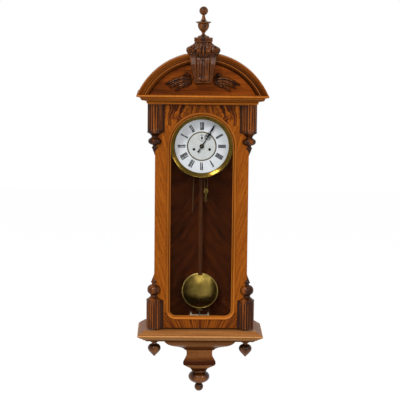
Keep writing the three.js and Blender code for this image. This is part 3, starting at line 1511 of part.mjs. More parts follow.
// Suspension: cock on the backboard, and the spring's upper half in its slot
const cock_arm_low = suspension_height + spring_half_length + chop_height;
const cock_arm_high = cock_arm_low + cock_arm_height;
const chop_y0 = -pendulum_depth + chop_thickness / 2;
const chop_y1 = -pendulum_depth - chop_thickness / 2;
const cock_front = pendulum_depth + chop_thickness;
add('suspension_cock', cut(
  join(
    box(
      -cock_half_width, cock_half_width, -bracket_back, -bracket_back - bracket_plate_thickness,
      cock_arm_low - (cock_plate_height - cock_arm_height), cock_arm_high,
    ),
    box(-cock_arm_half_width, cock_arm_half_width, -bracket_back, -cock_front, cock_arm_low, cock_arm_high),
  ),
  box(
    -chop_half_width - seat_gap, chop_half_width + seat_gap, chop_y0 + seat_gap, chop_y1 - seat_gap,
    cock_arm_low - overrun, cock_arm_high + overrun,
  ),
), brass);
const chop_cap = chop_height / 4;
add('suspension_spring', join(
  box(
    -chop_half_width, chop_half_width, chop_y0, chop_y1, suspension_height + spring_half_length,
    cock_arm_high + seat_gap + chop_cap,
  ),
  box(
    -cock_arm_half_width, cock_arm_half_width, chop_y0, chop_y1,
    cock_arm_high + seat_gap, cock_arm_high + seat_gap + chop_cap,
  ),
  box(
    -spring_width / 2, spring_width / 2, -pendulum_depth + spring_thickness / 2,
    -pendulum_depth - spring_thickness / 2, suspension_height + seat_gap / 2,
    suspension_height + spring_half_length + chop_cap,
  ),
), steel);

// Pendulum: rod with its hook and thread, brass bob, rating nut; heights from the point of swing
const rod_top = -rod_top_drop;
const bob_centre = -pendulum_length;
const rod_bottom = bob_centre - bob_radius + rod_end_inset;
const thread_bottom = bob_centre - bob_radius - thread_length;
const chop_low = -spring_half_length - chop_height;
const rod_section = outline([
  [-rod_width / 2, -rod_thickness / 4], [-rod_width / 4, -rod_thickness / 2],
  [rod_width / 4, -rod_thickness / 2], [rod_width / 2, -rod_thickness / 4],
  [rod_width / 2, rod_thickness / 4], [rod_width / 4, rod_thickness / 2],
  [-rod_width / 4, rod_thickness / 2], [-rod_width / 2, rod_thickness / 4],
]);
const hook_ferrule = rod_top_drop / 4;
add('pendulum_rod', join(
  box(
    -spring_width / 2, spring_width / 2, spring_thickness / 2, -spring_thickness / 2,
    -spring_half_length - chop_cap, -seat_gap / 2,
  ),
  box(
    -chop_half_width, chop_half_width, chop_thickness / 2, -chop_thickness / 2, chop_low, -spring_half_length,
  ),
  turned([
    [0, chop_low + chop_cap], [hook_radius, chop_low + chop_cap], [hook_radius, rod_top + hook_ferrule],
    [rod_thickness * 0.45, rod_top + hook_ferrule * 0.8], [rod_thickness * 0.45, rod_top - seat_gap],
    [0, rod_top - seat_gap],
  ].reverse(), 16),
  column_solid(rod_section, rod_bottom, rod_top - rod_bottom),
  turned([
    [0, thread_bottom], [thread_radius, thread_bottom], [thread_radius, rod_bottom + chop_cap],
    [0, rod_bottom + chop_cap],
  ], 12),
), rod_wood, [0, -pendulum_depth, suspension_height]);

const bob_half = bob_thickness / 2;
const bob_shares = [
  [0, -1], [0.4, -0.9], [0.72, -0.64], [0.92, -0.34], [0.95, -0.4], [1, -0.15],
  [1, 0.15], [0.95, 0.4], [0.92, 0.34], [0.72, 0.64], [0.4, 0.9], [0, 1],
];
const rod_channel = box(
  -rod_width / 2 - seat_gap, rod_width / 2 + seat_gap,
  -rod_thickness / 2 - seat_gap, rod_thickness / 2 + seat_gap,
  rod_bottom - bob_centre - nut_height, bob_radius + overrun,
);
const thread_channel = turned([
  [0, -bob_radius - overrun], [thread_radius + pivot_play, -bob_radius - overrun],
  [thread_radius + pivot_play, 0], [0, 0],
], 12);
add('pendulum_bob', cut(
  spun(bob_shares.map(([r, y]) => [r * bob_radius, y * bob_half]), 28), rod_channel, thread_channel,
), brass, [0, -pendulum_depth, suspension_height + bob_centre]);

const nut_side_count = 16;
const nut_profile = [
  [thread_radius + pivot_play, -nut_height], [nut_radius * 0.8, -nut_height],
  [nut_radius, -nut_height * 0.75],
  [nut_radius, -nut_height * 0.25], [nut_radius * 0.7, 0], [thread_radius + pivot_play, 0],
  [thread_radius + pivot_play, -nut_height],
];
add('rating_nut', turned(nut_profile, nut_side_count), brass, [
  0, -pendulum_depth, suspension_height + bob_centre - bob_radius - seat_gap,
]);

// Beat scale at the foot of the backboard, with its two raised ends
const scale_low = case_bottom + scale_above_base;
const scale_top = scale_low + scale_height;
const scale_end_x = scale_half_width - scale_end_half_width;
add('beat_scale', plate(outline([
  [-scale_half_width, scale_low], [scale_half_width, scale_low], [scale_half_width, scale_top],
  [scale_end_x, scale_top + scale_end_rise], [scale_end_x - scale_end_half_width, scale_top],
  [scale_end_half_width - scale_end_x, scale_top], [-scale_end_x, scale_top + scale_end_rise],
  [-scale_half_width, scale_top],
]), -bracket_back, scale_thickness), ivory);

// Driving line: down from the drum, round the sheave and up to the bracket's lug
const drum_tangent_z = -winding_drop;
const lug_low = bracket_top - bracket_arm_height;
const line_side_count = 8;
const wrap_step_count = 8;
const strand = (x, top) => upright_bar(
  line_radius, pulley_height - line_radius / 4, top, x, -line_depth, line_side_count,
);
const wrap = bent_wire(line_radius, line_depth, wrap_step_count, line_side_count, (step) => [
  groove_line_radius, Math.PI + Math.PI * step / wrap_step_count,
]);
add('going_line', join(
  strand(right_strand_x, drum_tangent_z),
  strand(fixed_strand_x, lug_low - seat_gap),
  wrap.body.translate(pulley_x, 0, pulley_height),
), gut);

// Pulley: sheave on its pin, in a brass bail with a hook for the weight
const sheave_back = line_depth - sheave_width / 2;
const sheave_front = line_depth + sheave_width / 2;
const sheave_profile = [
  [sheave_pin_radius + pivot_play, sheave_back], [sheave_radius, sheave_back],
  [sheave_radius, sheave_back + sheave_width * 0.12],
  [sheave_groove_radius - seat_gap, line_depth - line_radius - seat_gap],
  [sheave_groove_radius - seat_gap, line_depth + line_radius + seat_gap],
  [sheave_radius, sheave_front - sheave_width * 0.12], [sheave_radius, sheave_front],
  [sheave_pin_radius + pivot_play, sheave_front], [sheave_pin_radius + pivot_play, sheave_back],
];
const pulley_place = [pulley_x, 0, pulley_height];
add('line_sheave', spun(sheave_profile, 16), brass, pulley_place);
const bail_back = sheave_back - bail_gap - bail_thickness;
const bail_front = sheave_front + bail_gap;
const bail_low = -bail_drop;
const bail_cheeks = [bail_back, bail_front].map((depth) => box(
  -bail_half_width, bail_half_width, -depth, -depth - bail_thickness, bail_low, sheave_pin_radius * 2,
));
const bail_foot = box(
  -bail_half_width, bail_half_width, -bail_back, -bail_front - bail_thickness,
  bail_low, bail_low + bail_thickness,
);
const hook_wire = bail_thickness * 0.75;
const bail_hook = tube(
  bail_hook_radius + hook_wire, bail_hook_radius - hook_wire,
  line_depth - hook_wire, line_depth + hook_wire, 20,
).translate(0, 0, bail_low - bail_hook_radius);
const hook_mouth = box(
  0, 2 * bail_hook_radius, -line_depth + overrun, -line_depth - overrun,
  bail_low - bail_hook_radius, bail_low - hook_wire * 1.5,
);
add('pulley_bail', join(
  ...bail_cheeks, bail_foot, cut(bail_hook, hook_mouth),
  round_bar(sheave_pin_radius, bail_back, bail_front + bail_thickness, 0, 0, 12),
), brass, pulley_place);

// Loose line from the left lug, hanging to its free end
const loose_points = [[-loose_line_x, lug_low - seat_gap], ...loose_line_route]
  .map(([x, z]) => new THREE.Vector3(x, -line_depth, z));
const line_section = new THREE.Shape();
line_section.absarc(0, 0, line_radius, 0, 2 * Math.PI, false);
add('strike_line', solid(new THREE.ExtrudeGeometry(line_section, {
  steps: loose_line_step_count,
  extrudePath: new THREE.CatmullRomCurve3(loose_points, false, 'centripetal'),
  bevelEnabled: false,
  curveSegments: line_side_count / 2,
})), gut);

export default clock;
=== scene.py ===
# %% [markdown]
# Vienna regulator: the looks. The clock's construction comes in as a fixed frame of named parts at their
# real size. This lesson dresses it. Each cell says what a piece is on the real clock, how it could be made,
# and why this way was chosen. Lengths are metres, X runs right, Z runs up from the axis of the hands, and
# the wall is the plane Y = 0. Shapes are worked out in millimetres and turned to metres when they become a
# mesh.

# %% Load the frame and keep its box
import math
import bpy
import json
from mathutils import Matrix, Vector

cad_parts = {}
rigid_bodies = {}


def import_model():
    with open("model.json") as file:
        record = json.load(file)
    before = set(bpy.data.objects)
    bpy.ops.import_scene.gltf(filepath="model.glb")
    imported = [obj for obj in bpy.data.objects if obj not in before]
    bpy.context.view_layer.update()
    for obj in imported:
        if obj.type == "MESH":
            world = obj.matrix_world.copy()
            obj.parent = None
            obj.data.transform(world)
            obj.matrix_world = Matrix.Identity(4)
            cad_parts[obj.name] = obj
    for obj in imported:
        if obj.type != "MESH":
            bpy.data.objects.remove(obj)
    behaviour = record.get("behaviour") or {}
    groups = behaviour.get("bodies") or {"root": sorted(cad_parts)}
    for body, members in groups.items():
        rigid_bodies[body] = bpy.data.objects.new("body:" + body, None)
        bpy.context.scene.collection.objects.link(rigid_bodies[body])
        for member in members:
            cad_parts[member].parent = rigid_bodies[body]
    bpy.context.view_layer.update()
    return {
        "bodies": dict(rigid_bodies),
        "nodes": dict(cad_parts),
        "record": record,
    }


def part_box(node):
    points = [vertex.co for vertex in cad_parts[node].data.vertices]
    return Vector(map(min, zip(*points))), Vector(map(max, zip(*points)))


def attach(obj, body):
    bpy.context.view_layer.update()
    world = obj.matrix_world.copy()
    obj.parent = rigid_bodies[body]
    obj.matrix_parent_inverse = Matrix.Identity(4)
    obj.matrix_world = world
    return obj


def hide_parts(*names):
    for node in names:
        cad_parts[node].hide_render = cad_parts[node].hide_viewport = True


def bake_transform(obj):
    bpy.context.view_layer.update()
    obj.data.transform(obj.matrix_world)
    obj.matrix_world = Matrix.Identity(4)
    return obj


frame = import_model()

import json

import bmesh
import bpy
import numpy as np
from mathutils import Matrix, Vector

mm = 0.001
print("frame nodes:", len(frame["nodes"]))

# %% [markdown]
# The camera comes first, because everything after it is judged through it. Its place was found by fitting
# the corners of the mouldings, the door's edges and the dial to the photograph: about five metres away, a
# little left of the middle, and looking eight and a half degrees down.

# %% Camera
look_down = math.radians(8.5)
look_right = math.radians(0.887)
lean = math.radians(0.631)
camera_place = Vector((-0.0808, -5.073, 0.5685))
focal_pixels = 1561.3
picture_pixels = 400

level_ahead = Vector((math.sin(look_right), math.cos(look_right), 0))
level_right = Vector((math.cos(look_right), -math.sin(look_right), 0))
ahead = level_ahead * math.cos(look_down) - Vector((0, 0, math.sin(look_down)))
above = level_ahead * math.sin(look_down) + Vector((0, 0, math.cos(look_down)))
camera_right = level_right * math.cos(lean) + above * math.sin(lean)
camera_up = above * math.cos(lean) - level_right * math.sin(lean)

camera_data = bpy.data.cameras.new("view_of_clock")
camera_data.sensor_width = 36
camera_data.lens = focal_pixels * camera_data.sensor_width / picture_pixels
camera_data.clip_end = 60
camera = bpy.data.objects.new("view_of_clock", camera_data)
bpy.context.scene.collection.objects.link(camera)
axes = Matrix((camera_right, camera_up, -ahead)).transposed()
camera.matrix_world = Matrix.Translation(camera_place) @ axes.to_4x4()
bpy.context.scene.camera = camera
print("camera", round(camera_place.length, 2), "m from the hands")

# %% [markdown]
# A material is a small graph of nodes. One helper adds a node, sets what it is told and links its inputs,
# so that each finish below reads as a recipe. Colours are written as the hex values a painter would pick,
# and one function turns them to the linear values that the renderer works in.

# %% Helpers for materials
def linear(hex_colour):
    """sRGB hex to linear RGBA: each channel follows the sRGB curve."""
    channels = [int(hex_colour[i:i + 2], 16) / 255 for i in (1, 3, 5)]
    return [c / 12.92 if c <= 0.04045 else ((c + 0.055) / 1.055) ** 2.4 for c in channels] + [1.0]


def add(tree, kind, settings=None, **inputs):
    """Adds a shader node with its settings. An input is named with _ for a space, or with i and its number,
    and is given a value or linked to a socket."""
    made = tree.nodes.new("ShaderNode" + kind)
    for name, value in (settings or {}).items():
        setattr(made, name, value)
    for name, value in inputs.items():
        socket = made.inputs[int(name[1:]) if name[1:].isdigit() else name.replace("_", " ")]
        if isinstance(value, bpy.types.NodeSocket):
            tree.links.new(value, socket)
        else:
            socket.default_value = value
    return made


def math_of(tree, operation, *values, kind="Math"):
    """One step of arithmetic on sockets or numbers, or on vectors when the kind is VectorMath."""
    inputs = {f"i{number}": value for number, value in enumerate(values)}
    made = add(tree, kind, {"operation": operation}, **inputs)
    return made.outputs["Value" if operation == "LENGTH" else 0]


def place_of(tree):
    """Where a point lies in the piece's own coordinates; as a grain it runs upright, along Z."""
    return add(tree, "TexCoord").outputs["Object"]


def numbers_of(tree, vector):
    """The three numbers of a vector."""
    return list(add(tree, "SeparateXYZ", i0=vector).outputs)


def noise(tree, vector, scale, detail=2.0, roughness=0.5, kind="Fac"):
    """Cloudy noise over a vector: one value, or three as a colour."""
    made = add(tree, "TexNoise", Vector=vector, Scale=scale, Detail=detail, Roughness=roughness)
    return made.outputs[kind]


def step_between(tree, value, low, high):
    """Rises smoothly from 0 to 1 while the value goes from low to high."""
    made = add(tree, "MapRange", {"interpolation_type": "SMOOTHSTEP"}, Value=value, i1=low, i2=high)
    return made.outputs[0]


def mixed(tree, share, first, second, blend="MIX"):
    """The first colour where the share is 0 and the second where it is 1."""
    kind = {"data_type": "RGBA", "blend_type": blend}
    return add(tree, "Mix", kind, i0=share, i6=first, i7=second).outputs[2]


def ramp(tree, source, stops):
    """A colour ramp over the given (place, hex) stops."""
    made = add(tree, "ValToRGB", Fac=source)
    elements = made.color_ramp.elements
    while len(elements) < len(stops):
        elements.new(0.5)
    for element, (place, colour) in zip(elements, stops):
        element.position = place
        element.color = linear(colour)
    return made.outputs["Color"]


def new_material(name):
    """An empty material and its tree."""
    material = bpy.data.materials.new(name)
    material.use_nodes = True
    material.node_tree.nodes.clear()
    return material, material.node_tree


def wear(piece, material):
    """Gives a piece one material."""
    piece.data.materials.clear()
    piece.data.materials.append(material)

# %% [markdown]
# The floor is a plain pale sheet well below the clock, and the world is a plain pale studio.
# To the camera, to glass and to polished surfaces both are white, while the light that they give is softer.

# %% Stage and light
floor_height, floor_half = -1.45, 9.0
floor_mesh = bpy.data.meshes.new("floor")
floor_mesh.from_pydata(
    [(x * floor_half, y * floor_half, floor_height) for x, y in ((-1, -1), (1, -1), (1, 1), (-1, 1))],
    [], [(0, 1, 2, 3)],
)
floor = bpy.data.objects.new("floor", floor_mesh)
bpy.context.scene.collection.objects.link(floor)


def looked_at(tree):
    """1 for a ray from the camera, from a glossy surface or through glass, and 0 for light that spreads."""
    path = add(tree, "LightPath").outputs
    polished = math_of(tree, "MAXIMUM", path["Is Glossy Ray"], path["Is Transmission Ray"])
    return math_of(tree, "MAXIMUM", path["Is Camera Ray"], polished)


paper_share = 0.25
glow_strength, room_strength = 1.17, 0.5
paper, tree = new_material("matt_paper")
seen = looked_at(tree)
diffuse = add(tree, "BsdfDiffuse", Color=mixed(tree, seen, linear("#a2a29f"), linear("#f4f4f2")))
glow = add(tree, "Emission", Color=linear("#ffffff"), Strength=glow_strength)
glow_share = math_of(tree, "MULTIPLY", seen, 1 - paper_share)
floor_mix = add(tree, "MixShader", i0=glow_share, i1=diffuse.outputs[0], i2=glow.outputs[0])
add(tree, "OutputMaterial", Surface=floor_mix.outputs[0])
wear(floor, paper)

world = bpy.data.worlds.new("studio")
bpy.context.scene.world = world
world.use_nodes = True
tree = world.node_tree
tree.nodes.clear()
room_light = add(tree, "Background", Color=linear("#f7f8fb"), Strength=room_strength)
white = add(tree, "Background", Color=linear("#ffffff"), Strength=1.0)
room = add(tree, "MixShader", i0=looked_at(tree), i1=room_light.outputs[0], i2=white.outputs[0])
add(tree, "OutputWorld", Surface=room.outputs[0])

for lamp_name, place, aim_height, size, power in (
    ("key_light", (-1.8, -3.3, 3.0), -0.1, 0.8, 120), ("fill_light", (2.5, -3.3, 1.1), -0.2, 1.0, 45),
    ("front_light", (-0.1, -4.6, 1.3), -0.1, 1.4, 48),
):
    lamp_data = bpy.data.lights.new(lamp_name, "AREA")
    lamp_data.size = size
    lamp_data.energy = power
    lamp = bpy.data.objects.new(lamp_name, lamp_data)
    lamp.location = place
    aim = Vector((0, 0, aim_height)) - Vector(place)
    lamp.rotation_euler = aim.to_track_quat("-Z", "Y").to_euler()
    bpy.context.scene.collection.objects.link(lamp)
bpy.context.scene.view_settings.view_transform = "Standard"

# %% [markdown]
# The case is walnut, French-polished to a warm orange brown. A veneer shows three things at once: broad
# bands where the log's rings were cut, fine streaks along the grain, and short dark pores. Each is a noise
# pattern stretched along the grain at its own real width. The polish mirrors little, so the colour stays
# deep. How the grain lies differs from piece to piece, so each finish starts from a pattern: a vector whose
# Z runs along the grain. Rails turn it, mouldings read it from the length of their run, and the door's
# veneer bends it.

# %% Where the grain runs
def level_grain(tree):
    """Grain along X: the coordinates turned a quarter about Y."""
    return add(tree, "Mapping", Vector=place_of(tree), Rotation=(0, math.radians(90), 0)).outputs[0]


def run_grain(tree):
    """Grain along a moulding: its map holds the profile's girth and the run's length, in metres."""
    girth, run, _ = numbers_of(tree, add(tree, "TexCoord").outputs["UV"])
    return add(tree, "CombineXYZ", i0=girth, i2=run).outputs[0]


def mixed_vector(tree, share, first, second):
    """The first vector where the share is 0 and the second where it is 1."""
    return add(tree, "Mix", {"data_type": "VECTOR"}, i0=share, i4=first, i5=second).outputs[1]


def slanted(tree, across, along, degrees, depth):
    """Coordinates of a sheet whose grain leans by the angle, as a vector (across, depth, along)."""
    cosine, sine = math.cos(math.radians(degrees)), math.sin(math.radians(degrees))
    sideways = math_of(tree, "MULTIPLY_ADD", along, sine, math_of(tree, "MULTIPLY", across, cosine))
    lengthways = math_of(tree, "MULTIPLY_ADD", across, -sine, math_of(tree, "MULTIPLY", along, cosine))
    return add(tree, "CombineXYZ", i0=sideways, i1=depth, i2=lengthways).outputs[0]


def chevron_grain(tree, degrees=38):
    """Two sheets opened like a book on the centreline, each with its grain leaning the same way from it."""
    across, depth, height = numbers_of(tree, place_of(tree))
    return slanted(tree, math_of(tree, "ABSOLUTE", across), height, degrees, depth)


stile_lean = -17
burr_foot, burr_full, burr_curl = 0.0695, 0.0705, (0.075, 0.02, 0.12)
fan_top, fan_full = -0.5335, -0.5345
fan_centre, fan_radius = -0.72, 0.32


def door_grain(tree):
    """The door's veneer: leaning on the stiles, a fan on the lower rail, a curly mirrored burr over the
    dial. The fan's lines meet at a point under the door: across is the angle times a radius, along is the
    distance."""
    across, depth, height = numbers_of(tree, place_of(tree))
    mirrored = math_of(tree, "ABSOLUTE", across)
    stiles = slanted(tree, mirrored, height, stile_lean, depth)
    reach = math_of(tree, "SUBTRACT", height, fan_centre)
    around = math_of(tree, "MULTIPLY", math_of(tree, "ARCTAN2", mirrored, reach), fan_radius)
    fan = add(tree, "CombineXYZ", i0=around, i1=depth, i2=reach).outputs[0]
    flat = add(tree, "CombineXYZ", i0=mirrored, i2=height).outputs[0]
    curl = noise(tree, flat, 16.0, kind="Color")
    burr = math_of(tree, "MULTIPLY_ADD", curl, burr_curl, flat, kind="VectorMath")
    lower = mixed_vector(tree, step_between(tree, height, fan_full, fan_top), fan, stiles)
    return mixed_vector(tree, step_between(tree, height, burr_foot, burr_full), lower, burr)


def door_figure(tree):
    """How strong the door's figure is and how much darker: quiet on the stiles, bold on the lower rail and
    over the dial."""
    height = numbers_of(tree, place_of(tree))[2]
    bold = math_of(tree, "MAXIMUM", step_between(tree, height, fan_top, fan_full),
                   step_between(tree, height, burr_foot, burr_full))
    return math_of(tree, "MULTIPLY_ADD", bold, 0.5, 0.4), math_of(tree, "MULTIPLY", bold, 0.075)


print("door veneer changes at", fan_top, "and", burr_foot, "m")

# %% [markdown]
# One function paints every walnut: the darkest lines are pores about half a millimetre wide, drawn a little
# coarser so that they show. Where a piece carries an attribute of painted light and shade, it darkens the
# wood as painted shade and lightens it as painted highlight.

# %% Walnut finishes
streak_size, pore_size = (3.2 * mm, 130 * mm), (0.9 * mm, 9 * mm)
streak_share, middle_tone = 0.45, 0.5
tone_stops = (0.3, 0.47, 0.66)
pore_from, pore_to, pore_strength = 0.56, 0.68, 0.55


def walnut(name, light, middle, dark, grain=place_of, band=26 * mm, band_length=420 * mm, gloss=0.3,
           painted_shadings=0.0, bend=18 * mm, shine=0.06, figure=1.0):
    """Walnut whose grain follows the pattern; band is the width of the broad colour bands, shine is how
    much the finish mirrors. Figure is how strong the bands are: a number, or a function that tells it from
    place to place with how much darker the wood is there."""
    material, tree = new_material(name)
    along_grain = grain(tree)
    waves = noise(tree, along_grain, 6.0, kind="Color")
    bent = math_of(tree, "MULTIPLY_ADD", waves, (bend, bend, bend), along_grain, kind="VectorMath")

    def marks(vector, width, length, detail, roughness=0.5):
        """Noise stretched along the grain to the real width and length of its marks."""
        scale = (1 / width, 1 / width, 1 / length)
        stretched = add(tree, "Mapping", Vector=vector, Scale=scale).outputs[0]
        return noise(tree, stretched, 1.0, detail, roughness)

    broad = marks(bent, band, band_length, 3.0, 0.55)
    streaks = marks(bent, *streak_size, 4.0, 0.6)
    pores = marks(along_grain, *pore_size, 1.0)
    tone = math_of(tree, "SUBTRACT", broad, streak_share / 2 + middle_tone)
    tone = math_of(tree, "MULTIPLY_ADD", streaks, streak_share, tone)
    strength, deeper = figure(tree) if callable(figure) else (figure, 0.0)
    tone = math_of(tree, "MULTIPLY_ADD", tone, strength, middle_tone)
    tone = math_of(tree, "SUBTRACT", tone, deeper)
    # The attribute holds painted light and shade: a positive value darkens the wood as painted shade, a
    # negative one lightens it as a painted highlight.
    if painted_shadings:
        painted_shading = add(tree, "Attribute", {"attribute_name": "painted_shading"}).outputs["Fac"]
        tone = math_of(tree, "MULTIPLY_ADD", painted_shading, -painted_shadings, tone)
    colour = ramp(tree, tone, list(zip(tone_stops, (dark, middle, light))))
    pore_mask = add(tree, "MapRange", Value=pores, i1=pore_from, i2=pore_to, i3=0.0, i4=pore_strength)
    pored = mixed(tree, pore_mask.outputs[0], colour, linear(dark))
    relief = add(tree, "Bump", Height=pores, Strength=0.15, Distance=0.2 * mm).outputs[0]
    surface = add(tree, "BsdfPrincipled", Base_Color=pored, Normal=relief, Roughness=gloss,
                  Specular_IOR_Level=shine)
    add(tree, "OutputMaterial", Surface=surface.outputs[0])
    return material


case_walnut = walnut("walnut_upright", "#aa5f18", "#8e4c0e", "#5a2a08", figure=0.6, shine=0.04)
door_veneer = walnut("walnut_door_veneer", "#b0621a", "#8a460e", "#34150a", door_grain, band=7 * mm,
                     band_length=200 * mm, figure=door_figure, shine=0.04)
moulding_walnut = walnut("walnut_moulding", "#b86a20", "#945214", "#562708", run_grain, shine=0.08,
                         figure=0.6, painted_shadings=0.3)
arch_walnut = walnut("walnut_arch", "#8c4c16", "#6e360a", "#351806", run_grain, figure=0.8, painted_shadings=0.4)
base_walnut = walnut("walnut_base", "#c68a52", "#9b6434", "#56280a", run_grain, shine=0.02, painted_shadings=0.4,
                     figure=0.3)
console_walnut = walnut("walnut_console", "#b87a48", "#8a5228", "#48200a", run_grain, shine=0.03,
                        painted_shadings=0.4, figure=0.45)
dark_walnut = walnut("walnut_dark_board", "#642c0e", "#431c09", "#260f05", chevron_grain, gloss=0.5,
                     band=17 * mm, band_length=260 * mm, bend=110 * mm, shine=0.03, figure=0.5)
carved_walnut = walnut("walnut_carved", "#6e3c17", "#48230c", "#1a0b05", gloss=0.17, painted_shadings=0.66,
                       shine=0.11)
column_walnut = walnut("walnut_column", "#a0561a", "#743c12", "#301506", gloss=0.07, painted_shadings=0.24,
                       shine=0.12)
turned_walnut = walnut("walnut_turned", "#8a501c", "#643610", "#2c1606", gloss=0.06, shine=0.18,
                       painted_shadings=0.3)
panel_walnut = walnut("walnut_panel", "#8c440e", "#6c3107", "#451d05", level_grain, shine=0.03)
print("walnut finishes made")

# %% [markdown]
# The metals: lacquered brass for the bezel, bob and wheels, grey steel for the gong and hammer, black iron
# for the bracket and blued steel for the hands. A metal's colour is its reflection, so each is almost only
# roughness. Old lacquer goes olive in patches, which a slow noise mixes in.

# %% Metals
painted_hole_shade = "#0b0b0c"


def metal(name, colour, roughness, tarnish=None, patch=20 * mm, front=None, rim=None):
    """A metal with slow changes of colour and roughness, as rubbing by hand leaves.
    What lies in front of the depth `front` is painted near black, a painted shade for the inside of a winding
    hole, and what lies beyond the radius of a rim (height of its centre, radius, colour) has a colour of its
    own, used as a painted highlight."""
    material, tree = new_material(name)
    place = place_of(tree)
    cloud = noise(tree, place, 1 / patch, 4.0)
    tone = ramp(tree, cloud, [(0.35, colour), (0.7, tarnish or colour)])
    if front is not None:
        before = step_between(tree, numbers_of(tree, place)[1], front, front - 1 * mm)
        tone = mixed(tree, before, tone, linear(painted_hole_shade))
    if rim:
        centre, radius, rim_highlight_colour = rim
        flat = math_of(tree, "MULTIPLY_ADD", place, (1, 0, 1), (0, 0, -centre), kind="VectorMath")
        reach = math_of(tree, "LENGTH", flat, kind="VectorMath")
        beyond = step_between(tree, reach, radius, radius + 0.5 * mm)
        tone = mixed(tree, beyond, tone, linear(rim_highlight_colour))
    rough = add(tree, "MapRange", Value=cloud, i3=roughness * 0.75, i4=roughness * 1.35).outputs[0]
    surface = add(tree, "BsdfPrincipled", Base_Color=tone, Roughness=rough, Metallic=1.0)
    add(tree, "OutputMaterial", Surface=surface.outputs[0])
    return material


bezel_brass = metal("lacquered_bezel_brass", "#6c5320", 0.2, "#4e3b15", 30 * mm)
# Painted shade: the pulley's brass is darkened, as the shade inside the case.
pulley_brass = metal("shaded_pulley_brass", "#5c4c28", 0.45, "#3c3018")
# Painted shade: the front plate's brass is darkened, as the shade behind the dial.
plate_brass = metal("shaded_plate_brass", "#443517", 0.5, "#2c220e")
hoop_brass = metal("dark_hoop_brass", "#6b6142", 0.35, "#4a4028")
movement_tones = ("#8d6f38", 0.35, "#654c22")
wheel_brass = metal("movement_brass", *movement_tones)
# Painted highlight: beyond 57 mm from the bob's centre the brass is lighter, on its rim.
bob_brass = metal("bob_brass", "#a08340", 0.26, "#4a3a18", 60 * mm, rim=(-485 * mm, 57 * mm, "#b89c58"))
steel_grey = "#8b8f94"
steel = metal("polished_steel", steel_grey, 0.3)
iron = metal("black_iron", "#2a2a2b", 0.5)
blued_steel = metal("blued_steel", "#15161b", 0.35)
print("metals made")

# %% [markdown]
# Enamel is glass fired on copper: white, even and glossy. It is a touch darker and warmer in the sunk centre.
# Gut and ivory are plain, and the glass is a pane that is clear straight through and mirrors a little more at
# a slant, which a Fresnel share between two shaders gives.

# %% Enamel, ivory, gut, ink and glass
centre_radius = 44 * mm


def plain(name, colour, roughness, coat=0.0, centre_colour=None):
    """A smooth surface with a faint unevenness in its colour, and another tone near the hands' axis."""
    material, tree = new_material(name)
    place = place_of(tree)
    cloud = noise(tree, place, 30.0, 3.0)
    if centre_colour:
        flat = math_of(tree, "MULTIPLY", place, (1, 0, 1), kind="VectorMath")
        radius = math_of(tree, "LENGTH", flat, kind="VectorMath")
        outside = step_between(tree, radius, centre_radius, centre_radius + 1 * mm)
        base = mixed(tree, outside, linear(centre_colour), linear(colour))
        tone = mixed(tree, 1.0, base, ramp(tree, cloud, [(0.3, "#f2f2f0"), (0.6, "#ffffff")]), "MULTIPLY")
    else:
        deeper = "#%02x%02x%02x" % tuple(int(int(colour[i:i + 2], 16) * 0.93) for i in (1, 3, 5))
        tone = ramp(tree, cloud, [(0.3, deeper), (0.6, colour)])
    surface = add(tree, "BsdfPrincipled", Base_Color=tone, Roughness=roughness, Specular_IOR_Level=0.2,
                  Coat_Weight=coat, Coat_Roughness=0.05)
    add(tree, "OutputMaterial", Surface=surface.outputs[0])
    return material


enamel = plain("vitreous_enamel", "#f3f0f9", 0.25, 0.1, centre_colour="#e0dddf")
ivory = plain("ivory_white", "#d9cfb6", 0.35)
gut = plain("gut_line", "#5e4726", 0.6)
fired_ink = plain("fired_black_ink", "#06080c", 0.4)

mirror_part = 0.03
clear_glass, tree = new_material("sheet_glass")
facing = add(tree, "Fresnel", IOR=1.4).outputs[0]
through = add(tree, "BsdfTransparent", Color=linear("#f6f8f7")).outputs[0]
shine = add(tree, "BsdfGlossy", Roughness=0.03).outputs[0]
mirror_share = math_of(tree, "MULTIPLY", facing, mirror_part)
pane = add(tree, "MixShader", i0=mirror_share, i1=through, i2=shine)
add(tree, "OutputMaterial", Surface=pane.outputs[0])
print("smooth finishes made")

# %% [markdown]
# The pendulum rod is one construction part with three materials on the real one: a spring and hook of steel
# at the top, a varnished stick, and a threaded steel end. The height tells them apart.

# %% Pendulum rod
rod_finish, tree = new_material("varnished_rod")
place = place_of(tree)
stick_top, stick_foot = 29.5 * mm, -515 * mm
height = numbers_of(tree, place)[2]
fibre = add(tree, "Mapping", Vector=place, Scale=(400, 400, 14)).outputs[0]
streak = noise(tree, fibre, 1.0, 3.0)
stick_colour = ramp(tree, streak, [(0.3, "#381a0a"), (0.5, "#4e2710"), (0.7, "#603416")])
above_stick = step_between(tree, height, stick_top, stick_top + 0.5 * mm)
below_stick = step_between(tree, height, stick_foot, stick_foot - 0.5 * mm)
is_steel = math_of(tree, "MAXIMUM", above_stick, below_stick)
rod_colour = mixed(tree, is_steel, stick_colour, linear(steel_grey))
surface = add(tree, "BsdfPrincipled", Base_Color=rod_colour, Metallic=is_steel, Roughness=0.33,
              Specular_IOR_Level=0.1)
add(tree, "OutputMaterial", Surface=surface.outputs[0])
print("stick from", stick_foot, "to", stick_top, "m")

# %% [markdown]
# Every construction part that stays gets the finish of the real one. New pieces take theirs when made.

